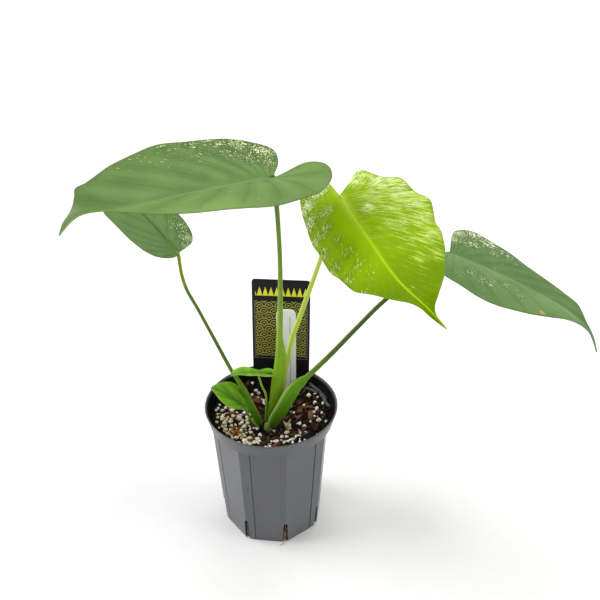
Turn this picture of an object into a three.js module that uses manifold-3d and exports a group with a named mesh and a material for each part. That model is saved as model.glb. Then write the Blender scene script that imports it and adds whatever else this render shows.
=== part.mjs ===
// A young potted monstera with mottled, long-tipped leaves, in a grey pot with slits at its foot.
// Lengths are in millimetres and angles in degrees. +Z is up and the viewer stands on the -Y side.
// The origin is the centre of the pot's flat base. Heights are measured from that base.
import * as THREE from 'three';
import { mergeVertices } from 'three/addons/utils/BufferGeometryUtils.js';
import Module from 'manifold-3d';

const wasm = await Module();
wasm.setup();

// What touches keeps this much air between its faces.
const GAP = 0.3;

// The pot: a round band at the top over a wall whose eight corners carry the slits.
const POT = {
  height: 130,
  floor: 2.5,
  wall: 1.7,
  baseRadius: 47.7,
  waistRadius: 55,
  bandBottom: 115.5,
  bandRadius: 56.4,
  rimRadius: 60,
  rimLip: 1.6,
  firstCorner: 15.2,
  grooveTurn: 10.2,
  grooveRadiusShare: 0.957,
  grooveWidth: 1,
  grooveDepth: 0.8,
};
const CORNERS = 8;
const SLIT = { width: 5.2, topWidth: 3.6, height: 25, inner: 39 };

// The potting mix fills the pot to this height in the middle and is banked up towards the wall.
// Pale perlite and brown bark lie in it.
const MIX = {
  top: 111, bank: 7.5, bankFrom: 26, bankTo: 48, roughness: 0.8, grainsWithin: 51,
};
const PERLITE = { scattered: 58, clustered: 34, smallest: 1.3, largest: 2.6 };
const CLUSTER = { bearing: -55, spread: 42, from: 26, to: 47 };
const BARK = { count: 46, shortest: 5, longest: 12, thickness: 2.2 };
// Grains keep this far from the crown and from the labels' faces.
const CLEAR = { crown: 13, label: 3.5 };

// The short stem that all the leaf stalks rise from.
const CROWN = { x: -2.8, y: -14.8, radius: 3.6, root: 86, top: 120 };

// Each leaf stalk: its middle line from the crown to the blade, as x, y, z,
// half its breadth seen from the front and half its depth. The broad start is its sheath.
const STALKS = {
  petiole_1: [
    [-1.6, -12.6, 117, 3.2, 2.3], [0.6, -12.8, 128, 4.2, 2.6], [4.2, -13.4, 142, 5.4, 2.9],
    [7.9, -13, 162, 6.9, 3], [9.8, -12.4, 176, 6.6, 2.9], [10.3, -12, 187, 5.7, 2.8],
    [9.6, -11.4, 199, 4.1, 2.7], [9.2, -11, 211, 2.9, 2.6], [9.7, -10, 228, 2.7, 2.5],
    [10.2, -9, 250, 2.3, 2.2], [10.3, -9, 275, 2.1, 2.1], [9.8, -10, 300, 2, 2.1],
    [8.5, -12, 328, 2.1, 2.1], [6.3, -14.8, 352.2, 2.4, 2.3],
  ],
  petiole_4: [
    [0.2, -17.8, 115.5, 3.6, 2.4], [2.4, -19.4, 125.5, 5.4, 3], [7.8, -20, 136, 6.5, 3.3],
    [12.6, -20, 146, 6.7, 3.4], [17.2, -20, 156, 6.6, 3.3], [22.8, -19.7, 164.5, 5.6, 3.1],
    [28.8, -19, 170, 4.1, 2.7], [32.6, -18.3, 173.4, 2.6, 2.4], [51.4, -14, 192.4, 2.3, 2.3],
    [73.6, -9, 217, 2.1, 2.1], [96, -4, 240.7, 2, 2], [123.5, -1, 264.5, 2, 2],
    [138.7, 0, 276.8, 2.1, 2.1], [144.8, -0.1, 281.3, 2.3, 2.2],
  ],
  petiole_3: [
    [1.4, -9.6, 118, 2, 1.8], [5, -8.2, 135, 2.2, 1.9], [11, -6.8, 160, 2.4, 2],
    [15.6, -5.8, 183, 2.5, 2.2], [19.2, -5, 202.7, 2.5, 2.3], [25.2, -4, 221.7, 2.3, 2.2],
    [31, -3, 240, 2.2, 2.1], [39.7, -3, 268.3, 2, 2], [46.5, -5, 293.6, 2, 2],
    [52.5, -8, 319, 2.1, 2], [55.9, -9.9, 333.8, 2.3, 2.2],
  ],
  petiole_2: [
    [-8.4, -14.6, 117, 3, 2.2], [-11.6, -14, 123, 4.2, 2.6], [-15.5, -12.5, 132, 4, 2.7],
    [-20, -10.5, 142, 3.9, 2.6], [-23.9, -8, 151.4, 3.1, 2.2], [-29, -4.8, 160, 2, 1.8],
    [-33.5, -2, 166, 1.8, 1.7], [-43.3, 5, 183.5, 1.7, 1.6], [-53.3, 14, 199.8, 1.6, 1.6],
    [-63.5, 24, 215.3, 1.6, 1.6], [-73.1, 35, 227.1, 1.6, 1.6], [-78.1, 44, 237.2, 1.6, 1.6],
    [-79.9, 48.5, 247.3, 1.6, 1.6], [-80.6, 50.1, 253.9, 1.8, 1.8],
  ],
  small_petiole_a: [
    [-10.6, -17.6, 116, 1.1, 1.1], [-14, -17.8, 120, 1.1, 1.1], [-17.6, -17.9, 125.4, 1.1, 1.1],
    [-19.8, -18, 131, 1.1, 1.1], [-20.9, -18.4, 137.9, 1.1, 1.1],
  ],
  small_petiole_b: [
    [-4.9, -12.2, 118, 1.1, 1.1], [-4.1, -12.4, 132, 1, 1], [-3.6, -12.5, 145, 1, 1],
    [-4.8, -12.4, 152, 1, 1], [-7.2, -12.2, 158, 1, 1], [-10.3, -12, 171.3, 1, 1],
  ],
};

// Each blade hangs from its stalk at `base`. `yaw` turns its midrib from +X towards +Y, `pitch`
// lifts it and `roll` lifts its left side. `left` and `right` are its two margins laid flat, from
// the notch at the stalk round the lobe to the tip: distance along the midrib, distance from it.
// `fold` and `curl` are each half's rise at the midrib and its bend down on the way to the margin.
// `arch` bends the whole midrib down, `droop` bends the drip tip and `sway` turns it to the left.
const BLADES = {
  leaf_1: {
    base: [6.1, -15, 352.4], yaw: 216.5, pitch: 4.5, roll: 6, length: 168, thickness: 1,
    arch: 4, droop: 48, droopStart: 0.78, sway: -43, fold: [13, 20], curl: [28, 6], lobeRise: [12, 2],
    wave: [0.6, 3, 0.4, 1.2],
    left: [[0, 0], [-6, 2.5], [-13, 1], [-20, 1.5], [-25, 7], [-27, 17], [-27, 28], [-25, 36],
      [-21, 43.5], [-16, 48], [-8, 52], [2, 55.5], [16, 58], [34, 58], [50, 56], [67, 52], [83, 47],
      [99, 41], [110, 36.5], [118, 31], [125, 23], [131, 16], [137, 9], [144, 5], [154, 5], [162, 4],
      [168, 0]],
    right: [[0, 0], [-6, 6], [-13, 13], [-18, 20], [-22, 28.5], [-23, 36], [-20.5, 43], [-15, 50],
      [-8, 56.5], [2, 62], [13, 65.5], [26, 68.5], [42, 70], [58, 69.5], [73, 66], [89, 60], [104, 52],
      [118, 41.5], [128, 34], [136, 29], [140, 20], [145, 11], [151, 5.5], [159, 3.5], [168, 0]],
  },
  leaf_2: {
    base: [-80.4, 50, 255.4], yaw: 133, pitch: 25, roll: 4, length: 108, thickness: 0.9,
    arch: 14, droop: 35, droopStart: 0.78, sway: 0, fold: [8, 6], curl: [10, 20], lobeRise: [0, 0],
    wave: [0.6, 2.5, 0, 2],
    left: [[0, 0], [-1, 2], [-2.5, 6], [-2, 12.5], [0.5, 18], [4, 23], [9, 26.5], [15, 29], [26, 31],
      [36, 32], [46, 32.8], [56, 33.4], [65, 33.2], [74, 31], [83, 26], [91, 18.5], [98, 10],
      [103, 4], [108, 0]],
    right: [[0, 0], [1.5, 2.5], [3.5, 6], [5, 12], [6, 17.5], [10.5, 23], [17, 27.5], [24, 30.3],
      [33, 32], [40, 32.5], [48, 32.8], [58, 32], [70, 28.5], [82, 21], [91, 12], [98, 5], [108, 0]],
  },
  leaf_3: {
    base: [56.3, -10, 336], yaw: -70.5, pitch: -11, roll: 12, length: 150, thickness: 1,
    arch: 3, droop: 30, droopStart: 0.76, sway: 25, fold: [6, -6], curl: [6, 50], lobeRise: [0, 0],
    wave: [1.2, 4, 0.5, 1.5],
    left: [[0, 0], [-4, 5], [-9, 10], [-18, 19], [-18, 25], [-12, 30], [-2, 38], [8, 46], [22, 50],
      [34, 53], [44, 53.5], [55, 50.5], [65, 47], [74, 46], [85, 43], [92, 40], [100, 35], [109, 29.5],
      [118, 21], [126, 12], [132, 5], [138, 1.5], [144, 0.7], [150, 0]],
    right: [[0, 0], [-8, 1], [-16, 2], [-25, 4], [-31, 10], [-31, 20], [-25, 28], [-14, 32.5], [0, 36],
      [12, 38], [26, 39], [40, 39], [53, 37.5], [66, 35], [80, 31], [92, 25.5], [104, 18], [114, 11],
      [122, 6.5], [130, 4], [138, 3], [150, 0]],
  },
  leaf_4: {
    base: [145.7, 0, 282.6], yaw: -21.5, pitch: -13, roll: -10, length: 142, thickness: 1,
    arch: 13, droop: 25, droopStart: 0.78, sway: -50, fold: [8, 9], curl: [2, 30], lobeRise: [0, 0],
    wave: [0.6, 3, 0.8, 0.2],
    left: [[0, 0], [-1.5, 11], [-3.5, 23], [-4.5, 35], [-4, 42], [-1, 48], [5, 53], [12, 55.5],
      [24, 53.5], [36, 49], [48, 42.5], [59, 36], [72, 31.5], [84, 27.5], [96, 23.5], [104, 22.5],
      [109, 21.5], [113, 17], [117, 10.5], [121, 6], [127, 4], [135, 3], [142, 0]],
    right: [[0, 0], [-6, 8], [-11, 20], [-11, 33], [-4, 43], [8, 48.5], [20, 51], [34, 53.5], [46, 54.5],
      [56, 53], [67, 48.5], [78, 42.5], [89, 35], [99, 26], [107, 19], [113, 15], [119, 12], [126, 9.5],
      [134, 6], [142, 0]],
  },
  small_leaf_a: {
    base: [-21, -18.4, 138.8], yaw: 190, pitch: 47.9, roll: -14, length: 39.5, thickness: 0.8,
    arch: 12, droop: 20, droopStart: 0.78, sway: 0, fold: [10, 10], curl: [16, 12], lobeRise: [0, 0],
    wave: [0.2, 2, 0, 1],
    left: [[0, 0], [1.5, 3], [4, 5], [9, 8], [15, 11], [20.5, 12.4], [26, 11.6], [31.5, 9], [36.5, 4],
      [39.5, 0]],
    right: [[0, 0], [1.5, 3.5], [4, 7.5], [7.5, 13], [13, 16.5], [20, 16.3], [27, 12.6], [33, 7.5],
      [37, 3.4], [39.5, 0]],
  },
  small_leaf_b: {
    base: [-10.3, -12, 172.2], yaw: 183, pitch: 5.3, roll: 12, length: 24, thickness: 0.8,
    arch: 16, droop: 15, droopStart: 0.7, sway: 0, fold: [10, 18], curl: [14, 10], lobeRise: [0, 0],
    wave: [0.2, 2, 0, 1],
    left: [[0, 0], [-5, 2.5], [-10, 3], [-14, 4], [-12, 6.5], [-7, 8], [-1, 8], [5, 7.5], [10, 6],
      [16, 4], [20, 2.5], [24, 0]],
    right: [[0, 0], [-4, 2.8], [-9, 5], [-14, 6.5], [-13, 9.5], [-6, 9], [0, 7], [5, 7.5], [10, 8.8],
      [14, 9.2], [19, 7.6], [22, 4.5], [24, 0]],
  },
};

// The two labels pushed into the mix behind the stems.
const CARD = {
  width: 53, thickness: 1, foot: 84, top: 230.8, corner: 3, x: 8, y: 36.4, lean: 6, turn: -4.5,
};
const STAKE = {
  width: 17.4, thickness: 0.9, foot: 86, top: 210.5, corner: 5, x: 13.5, y: 26.6, lean: 2, turn: -3,
};

// Colours, roughness and metalness of each finish.
const FINISH = {
  pot: [0x63666a, 0.5],
  mix: [0x2c211b, 0.95],
  crown: [0x8da65a, 0.5],
  stalk: [0x5d8a35, 0.42],
  limeStalk: [0xb7c850, 0.42],
  leaf: [0x4f7f3f, 0.4],
  limeLeaf: [0x9dbf2b, 0.4],
  card: [0x131416, 0.35],
  stake: [0xf1f1ee, 0.45],
};

const rad = THREE.MathUtils.degToRad;
const point = (x, y, z) => new THREE.Vector3(x, y, z);

// A repeatable stream of numbers between 0 and 1.
function randomStream(seed) {
  let state = seed;
  return () => {
    state = (Math.imul(state, 1664525) + 1013904223) >>> 0;
    return state / 4294967296;
  };
}

function smoothstep(from, to, value) {
  const t = THREE.MathUtils.clamp((value - from) / (to - from), 0, 1);
  return t * t * (3 - 2 * t);
}

// Joining and cutting.

// Six times the volume inside a closed mesh, negative where it is inside out.
function signedVolume(positions, index) {
  let sum = 0;
  const [a, b, c] = [point(), point(), point()];
  for (let i = 0; i < index.length; i += 3) {
    a.fromArray(positions, 3 * index[i]);
    b.fromArray(positions, 3 * index[i + 1]);
    c.fromArray(positions, 3 * index[i + 2]);
    sum += a.dot(b.cross(c));
  }
  return sum;
}

function toSolid(geometry) {
  const bare = geometry.clone();
  bare.deleteAttribute('normal');
  bare.deleteAttribute('uv');
  const merged = mergeVertices(bare, 1e-4);
  const positions = new Float32Array(merged.attributes.position.array);
  const kept = [];
  for (let i = 0; i < merged.index.count; i += 3) {
    const [a, b, c] = merged.index.array.slice(i, i + 3);
    if (a !== b && b !== c && c !== a) kept.push(a, b, c);
  }
  if (signedVolume(positions, kept) < 0) kept.reverse();
  return new wasm.Manifold(new wasm.Mesh({
    numProp: 3,
    vertProperties: positions,
    triVerts: new Uint32Array(kept),
  }));
}

function toGeometry(solid) {
  const mesh = solid.getMesh();
  const geometry = new THREE.BufferGeometry();
  geometry.setAttribute('position', new THREE.BufferAttribute(mesh.vertProperties, 3));
  geometry.setIndex(new THREE.BufferAttribute(mesh.triVerts, 1));
  geometry.computeVertexNormals();
  return geometry;
}

// A cut can leave crumbs: the piece itself is the largest of what remains.
function largestPiece(solid) {
  return solid.decompose().sort((a, b) => b.volume() - a.volume())[0];
}

// A closed skin through rings of points that run counter-clockwise seen from the last ring.
function loft(rings) {
  const corners = [];
  const count = rings[0].length;
  for (let j = 0; j + 1 < rings.length; j += 1) {
    for (let i = 0; i < count; i += 1) {
      const k = (i + 1) % count;
      corners.push(rings[j][i], rings[j][k], rings[j + 1][k]);
      corners.push(rings[j][i], rings[j + 1][k], rings[j + 1][i]);
    }
  }
  const last = rings[rings.length - 1];
  for (let i = 1; i + 1 < count; i += 1) {
    corners.push(rings[0][0], rings[0][i + 1], rings[0][i]);
    corners.push(last[0], last[i], last[i + 1]);
  }
  return new THREE.BufferGeometry().setFromPoints(corners);
}

// A turned shape from a closed profile of radius and height.
function turned(profile, segments) {
  const outline = profile.map(([radius, height]) => new THREE.Vector2(radius, height));
  return toSolid(new THREE.LatheGeometry([...outline, outline[0]], segments).rotateX(Math.PI / 2));
}

// The pot.

// A bearing of 0 faces the viewer and 90 points to +X.
function outwards(bearing, radius, z) {
  return point(radius * Math.sin(rad(bearing)), -radius * Math.cos(rad(bearing)), z);
}

function cornerRadius(z) {
  return POT.baseRadius + (POT.waistRadius - POT.baseRadius) * (z / POT.bandBottom);
}

function grooveRadius(z) {
  return POT.grooveRadiusShare * cornerRadius(z);
}

const cornerBearings = Array.from({ length: CORNERS }, (_, i) => POT.firstCorner + (360 / CORNERS) * i);

// The grooves mirror each other across the first corner, each close to one corner.
const grooveBearings = cornerBearings.map((bearing, i) => {
  const side = i < CORNERS / 2 ? 1 : 0;
  return bearing + (side ? 360 / CORNERS - POT.grooveTurn : POT.grooveTurn);
});

function wallRing(z, inset) {
  return cornerBearings.flatMap((bearing, i) => [
    outwards(bearing, cornerRadius(z) - inset, z),
    outwards(grooveBearings[i], grooveRadius(z) - inset, z),
  ]);
}

function grooveCutter(bearing) {
  const across = outwards(bearing + 90, POT.grooveWidth / 2, 0);
  const ring = (z) => {
    const outer = outwards(bearing, grooveRadius(z) + 1, z);
    const inner = outwards(bearing, grooveRadius(z) - POT.grooveDepth, z);
    return [
      outer.clone().sub(across), outer.clone().add(across),
      inner.clone().add(across), inner.clone().sub(across),
    ];
  };
  return toSolid(loft([ring(-1), ring(POT.bandBottom - 0.5)]));
}

// The slit is a tall rounded opening that also bites into the floor's edge.
function slitCutter(bearing) {
  const half = SLIT.topWidth / 2;
  const shape = new THREE.Shape();
  shape.moveTo(-SLIT.width / 2, -1);
  shape.lineTo(SLIT.width / 2, -1);
  shape.lineTo(half, SLIT.height - half);
  shape.quadraticCurveTo(half, SLIT.height, 0, SLIT.height);
  shape.quadraticCurveTo(-half, SLIT.height, -half, SLIT.height - half);
  shape.closePath();
  const depth = POT.rimRadius - SLIT.inner;
  const geometry = new THREE.ExtrudeGeometry(shape, { depth, bevelEnabled: false, curveSegments: 3 });
  const across = outwards(bearing + 90, 1, 0);
  const place = new THREE.Matrix4().makeBasis(across, point(0, 0, 1), outwards(bearing, 1, 0));
  place.setPosition(outwards(bearing, SLIT.inner, 0));
  return toSolid(geometry.applyMatrix4(place));
}

// Above the eight-cornered wall the pot is round inside and widens to just below the rim.
const MOUTH = { bottom: POT.bandBottom - 1, top: POT.height - 2.5 };

function mouthProfile(inset, height) {
  const narrow = cornerRadius(POT.bandBottom) - POT.wall;
  const wide = POT.rimRadius - POT.rimLip - 0.8;
  const radiusAt = (z) => THREE.MathUtils.mapLinear(z, MOUTH.bottom, MOUTH.top, narrow, wide) - inset;
  const foot = MOUTH.bottom + inset;
  return [[0, foot], [radiusAt(foot), foot], [radiusAt(height), height], [0, height]];
}

function makePot() {
  const segments = 48;
  const band = turned([
    [40, POT.bandBottom], [POT.bandRadius, POT.bandBottom], [POT.rimRadius, POT.height - 0.8],
    [POT.rimRadius - 0.5, POT.height], [40, POT.height],
  ], segments);
  const insideRim = POT.rimRadius - POT.rimLip;
  const flare = turned([
    [0, MOUTH.top - 0.1], [insideRim - 0.8, MOUTH.top - 0.1], [insideRim, POT.height + 1],
    [0, POT.height + 1],
  ], segments);
  const mouth = turned(mouthProfile(0, MOUTH.top), segments).add(flare);
  const wall = toSolid(loft([wallRing(0, 0), wallRing(POT.bandBottom + 1, 0)]));
  const inside = toSolid(loft([wallRing(POT.floor, POT.wall), wallRing(POT.bandBottom, POT.wall)]));
  let pot = wall.add(band).subtract(inside).subtract(mouth);
  for (const bearing of cornerBearings) pot = pot.subtract(slitCutter(bearing));
  for (const bearing of grooveBearings) pot = pot.subtract(grooveCutter(bearing));
  return pot;
}

// The potting mix.

function mixHeight(x, y) {
  const swell = Math.sin(0.21 * x + 1.3) * Math.cos(0.18 * y - 0.4);
  const lumps = Math.sin(0.47 * x - 0.31 * y + 2.1) * Math.sin(0.39 * y + 0.22 * x);
  const banked = MIX.bank * smoothstep(MIX.bankFrom, MIX.bankTo, Math.hypot(x, y));
  return MIX.top + banked + MIX.roughness * (swell + lumps);
}

function mixRing(radius, count, z) {
  return Array.from({ length: count }, (_, i) => {
    const at = outwards((360 / count) * i, radius, z ?? 0);
    return z === undefined ? at.setZ(mixHeight(at.x, at.y)) : at;
  });
}

// Labels and stem keep the surface near them clear of grains.
function isClear(x, y, reach) {
  const nearCrown = Math.hypot(x - CROWN.x, y - CROWN.y) < CLEAR.crown + reach;
  const nearLabels = [CARD, STAKE].some((label) => (
    Math.abs(y - label.y) < CLEAR.label + reach && Math.abs(x - label.x) < label.width / 2 + reach
  ));
  const outside = Math.hypot(x, y) > MIX.grainsWithin - reach;
  return !nearCrown && !nearLabels && !outside;
}

function settled(geometry, x, y, sunk, random) {
  geometry.rotateX((random() - 0.5) * 0.9);
  geometry.rotateY((random() - 0.5) * 0.9);
  geometry.rotateZ(random() * Math.PI);
  return toSolid(geometry.translate(x, y, mixHeight(x, y) - sunk));
}

function perliteGrains(random) {
  const grains = [];
  const total = PERLITE.scattered + PERLITE.clustered;
  for (let tries = 0; grains.length < total && tries < 4000; tries += 1) {
    const clustered = grains.length < PERLITE.clustered;
    const bearing = clustered ? CLUSTER.bearing + CLUSTER.spread * (2 * random() - 1) : 360 * random();
    const inCluster = CLUSTER.from + (CLUSTER.to - CLUSTER.from) * random();
    const radius = clustered ? inCluster : MIX.grainsWithin * Math.sqrt(random());
    const at = outwards(bearing, radius, 0);
    const size = PERLITE.smallest + (PERLITE.largest - PERLITE.smallest) * random();
    if (!isClear(at.x, at.y, size)) continue;
    const grain = new THREE.OctahedronGeometry(size, 0);
    grain.scale(1, 0.7 + 0.3 * random(), 0.75);
    grains.push(settled(grain, at.x, at.y, -0.1 * size, random));
  }
  return grains;
}

function barkChips(random) {
  const chips = [];
  for (let tries = 0; chips.length < BARK.count && tries < 4000; tries += 1) {
    const at = outwards(360 * random(), MIX.grainsWithin * Math.sqrt(random()), 0);
    const length = BARK.shortest + (BARK.longest - BARK.shortest) * random();
    if (!isClear(at.x, at.y, length / 2)) continue;
    const chip = new THREE.BoxGeometry(length, length * (0.35 + 0.25 * random()), BARK.thickness);
    chips.push(settled(chip, at.x, at.y, 0.2, random));
  }
  return chips;
}

function makeMix() {
  const count = 36;
  const bottom = POT.floor + GAP;
  const rings = [mixRing(58, count, 0), mixRing(58, count)];
  for (const radius of [50, 44, 38, 32, 20, 8]) rings.push(mixRing(radius, count));
  const block = toSolid(loft(rings));
  const side = POT.wall + GAP + 0.1;
  const low = toSolid(loft([wallRing(bottom, side), wallRing(POT.bandBottom, side)]));
  const high = turned(mouthProfile(GAP + 0.1, MIX.top + MIX.bank + 5), 48);
  const filling = low.add(high);
  const random = randomStream(20);
  const grains = [...perliteGrains(random), ...barkChips(random)];
  let mix = block.add(wasm.Manifold.union(grains)).intersect(filling);
  mix = mix.subtract(toSolid(roundBar(CROWN.radius + GAP, CROWN.root - GAP, MIX.top + 12)));
  for (const label of [CARD, STAKE]) mix = mix.subtract(labelSolid(label, GAP));
  return largestPiece(mix);
}

// The crown, the stalks and the blades.

function roundBar(radius, from, to) {
  const bar = new THREE.CylinderGeometry(radius, radius, to - from, 16).rotateX(Math.PI / 2);
  return bar.translate(CROWN.x, CROWN.y, (from + to) / 2);
}

function makeCrown(extra) {
  const { radius, root, top } = CROWN;
  const profile = [[0, root], [radius * 0.8, root], [radius, MIX.top - 8], [radius, MIX.top + 4],
    [radius * 0.75, top - 1.5], [radius * 0.35, top], [0, top]];
  const grown = profile.map(([r, z]) => [r === 0 ? 0 : r + extra, z + (z === top ? extra : 0)]);
  return turned(grown, 16).translate([CROWN.x, CROWN.y, 0]);
}

// Stalk sections face this way: breadth lies across it and depth along it.
const STALK_FRONT = point(0, -0.94, 0.34);

function stalkSolid(stations, extra) {
  const line = new THREE.CatmullRomCurve3(stations.map(([x, y, z]) => point(x, y, z)));
  const sizes = new THREE.CatmullRomCurve3(stations.map(([, , , w, d]) => point(w, d, 0)));
  const steps = 2 * (stations.length - 1);
  const sides = 10;
  const rings = [];
  for (let i = 0; i <= steps; i += 1) {
    const centre = line.getPoint(i / steps);
    const along = line.getTangent(i / steps);
    const across = STALK_FRONT.clone().cross(along).normalize();
    const deep = along.clone().cross(across);
    const size = sizes.getPoint(i / steps);
    if (i === 0) centre.addScaledVector(along, -extra);
    if (i === steps) centre.addScaledVector(along, extra);
    rings.push(Array.from({ length: sides }, (_, k) => {
      const turn = (2 * Math.PI * k) / sides;
      return centre.clone()
        .addScaledVector(across, (size.x + extra) * Math.cos(turn))
        .addScaledVector(deep, (size.y + extra) * Math.sin(turn));
    }));
  }
  return toSolid(loft(rings));
}

// The midrib's own bend, station by station, as lengths in the blade's own frame.
const RIB = { before: 62, after: 100 };

function ribLine(leaf) {
  const step = leaf.length / RIB.after;
  const rib = [];
  const at = point(0, 0, 0);
  for (let i = -RIB.before; i <= RIB.after; i += 1) {
    const u = i / RIB.after;
    const bend = leaf.arch * Math.max(u, -0.25) + leaf.droop * smoothstep(leaf.droopStart, 0.97, u);
    const turn = rad(leaf.sway * smoothstep(0.5, 1, u));
    rib.push({ at: at.clone(), bend: rad(bend) });
    const flat = Math.cos(rad(bend)) * step;
    at.add(point(flat * Math.cos(turn), flat * Math.sin(turn), -Math.sin(rad(bend)) * step));
  }
  const origin = rib[RIB.before].at.clone();
  for (const station of rib) station.at.sub(origin);
  return rib;
}

function ribAt(leaf, rib, along) {
  const place = THREE.MathUtils.clamp((along / leaf.length) * RIB.after + RIB.before, 0, rib.length - 1.001);
  const i = Math.floor(place);
  return {
    at: rib[i].at.clone().lerp(rib[i + 1].at, place - i),
    bend: THREE.MathUtils.lerp(rib[i].bend, rib[i + 1].bend, place - i),
  };
}

function bladeFrame(leaf) {
  const [yaw, pitch, roll] = [rad(leaf.yaw), rad(leaf.pitch), rad(leaf.roll)];
  const along = point(Math.cos(pitch) * Math.cos(yaw), Math.cos(pitch) * Math.sin(yaw), Math.sin(pitch));
  const level = point(-Math.sin(yaw), Math.cos(yaw), 0);
  const left = level.clone().multiplyScalar(Math.cos(roll));
  left.addScaledVector(along.clone().cross(level), Math.sin(roll));
  return new THREE.Matrix4().makeBasis(along, left, along.clone().cross(left)).setPosition(...leaf.base);
}

// Where a flat place on the blade ends up: `out` is the distance from the midrib, `side` 1 on the
// left and -1 on the right, and `lift` the height above the blade's middle surface.
function bladePoint(leaf, rib, along, out, side, lift) {
  const half = side > 0 ? 0 : 1;
  const widest = Math.max(...(side > 0 ? leaf.left : leaf.right).map(([, y]) => y));
  const rate = rad(leaf.curl[half]) / widest;
  const start = rad(leaf.fold[half]);
  const across = (Math.sin(start) - Math.sin(start - rate * out)) / rate;
  const rise = (Math.cos(start - rate * out) - Math.cos(start)) / rate;
  const lobe = leaf.lobeRise[half] * Math.min(2, Math.max(0, -along / (0.2 * leaf.length))) ** 1.5;
  const [height, count, ...phases] = leaf.wave;
  const ripple = Math.sin((2 * Math.PI * count * along) / leaf.length + phases[half]);
  const up = rise + lobe + height * (out / widest) ** 2 * ripple + lift;
  const station = ribAt(leaf, rib, along);
  return station.at.add(point(up * Math.sin(station.bend), side * across, up * Math.cos(station.bend)));
}

// Veins leave the midrib near the stalk for the lobes, and further along for the rest.
function veinStart(share) {
  return 0.1 * share + 0.9 * Math.max(0, (share - 0.24) / 0.76) ** 2;
}

function halfBlade(leaf, rib, side, lift, rows, columns) {
  const outline = side > 0 ? leaf.left : leaf.right;
  const margin = new THREE.SplineCurve(outline.map(([x, y]) => new THREE.Vector2(x, y)));
  return margin.getSpacedPoints(rows).map((edge, i) => columns.map((share) => {
    const start = leaf.length * veinStart(i / rows);
    const along = start + (edge.x - start) * share;
    return bladePoint(leaf, rib, along, Math.max(0, edge.y) * share, side, lift);
  }));
}

function bladeSolid(leaf, extra) {
  const rib = ribLine(leaf);
  const rows = leaf.length > 60 ? 30 : 14;
  const columns = leaf.length > 60 ? [0, 0.3, 0.6, 0.85, 1] : [0, 0.5, 1];
  const half = leaf.thickness / 2 + extra;
  const corners = [];
  const quad = (a, b, c, d) => corners.push(a, b, c, a, c, d);
  for (const side of [1, -1]) {
    const upper = halfBlade(leaf, rib, side, half, rows, columns);
    const lower = halfBlade(leaf, rib, side, -half, rows, columns);
    const face = side > 0 ? quad : (a, b, c, d) => corners.push(c, b, a, d, c, a);
    const last = columns.length - 1;
    for (let i = 0; i < rows; i += 1) {
      for (let j = 0; j < last; j += 1) {
        face(upper[i][j], upper[i + 1][j], upper[i + 1][j + 1], upper[i][j + 1]);
        face(lower[i + 1][j + 1], lower[i + 1][j], lower[i][j], lower[i][j + 1]);
      }
      face(upper[i][last], upper[i + 1][last], lower[i + 1][last], lower[i][last]);
    }
  }
  return toSolid(new THREE.BufferGeometry().setFromPoints(corners).applyMatrix4(bladeFrame(leaf)));
}

// The labels.

function labelSolid(label, extra) {
  const [w, foot, top] = [label.width / 2 + extra, label.foot - extra, label.top + extra];
  const shape = new THREE.Shape();
  shape.moveTo(-w, foot);
  shape.lineTo(w, foot);
  shape.lineTo(w, top - label.corner);
  shape.quadraticCurveTo(w, top, w - label.corner, top);
  shape.lineTo(label.corner - w, top);
  shape.quadraticCurveTo(-w, top, -w, top - label.corner);
  shape.closePath();
  const depth = label.thickness + 2 * extra;
  const plate = new THREE.ExtrudeGeometry(shape, { depth, bevelEnabled: false, curveSegments: 4 });
  plate.translate(0, -MIX.top, -depth / 2);
  plate.rotateX(rad(90 - label.lean));
  plate.rotateZ(rad(label.turn));
  return toSolid(plate.translate(label.x, label.y, MIX.top));
}

// The plant put together: later stalks make room for the crown and for the ones before them.

function finish(name) {
  const [color, roughness] = FINISH[name];
  return new THREE.MeshStandardMaterial({ color, roughness, metalness: 0 });
}

const plant = new THREE.Group();
plant.name = 'potted_monstera';

function addPart(name, solid, look) {
  const mesh = new THREE.Mesh(toGeometry(solid), finish(look));
  mesh.name = name;
  plant.add(mesh);
}

addPart('pot', makePot(), 'pot');
addPart('soil', makeMix(), 'mix');
addPart('crown_stem', makeCrown(0), 'crown');

const taken = [makeCrown(GAP)];
for (const [name, leaf] of Object.entries(BLADES)) {
  const lime = name === 'leaf_3';
  addPart(name, bladeSolid(leaf, 0), lime ? 'limeLeaf' : 'leaf');
  taken.push(bladeSolid(leaf, GAP + 0.05));
}
for (const [name, stations] of Object.entries(STALKS)) {
  let stalk = stalkSolid(stations, 0);
  for (const neighbour of taken) stalk = stalk.subtract(neighbour);
  addPart(name, largestPiece(stalk), name === 'petiole_3' ? 'limeStalk' : 'stalk');
  taken.push(stalkSolid(stations, GAP));
}
addPart('label_card', labelSolid(CARD, 0), 'card');
addPart('label_stake', labelSolid(STAKE, 0), 'stake');

export default plant;
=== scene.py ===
# %% [markdown]
# A young monstera in a grey plastic pot: four long-tipped leaves mottled with cream, two small
# leaves at the crown, a loose mix of bark and perlite, and two plain plant labels. The packed
# model gives every piece its place. This lesson builds each piece again with a finer surface
# and gives it its finish. The tables are in millimetres and become metres when a mesh is placed.

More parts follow.
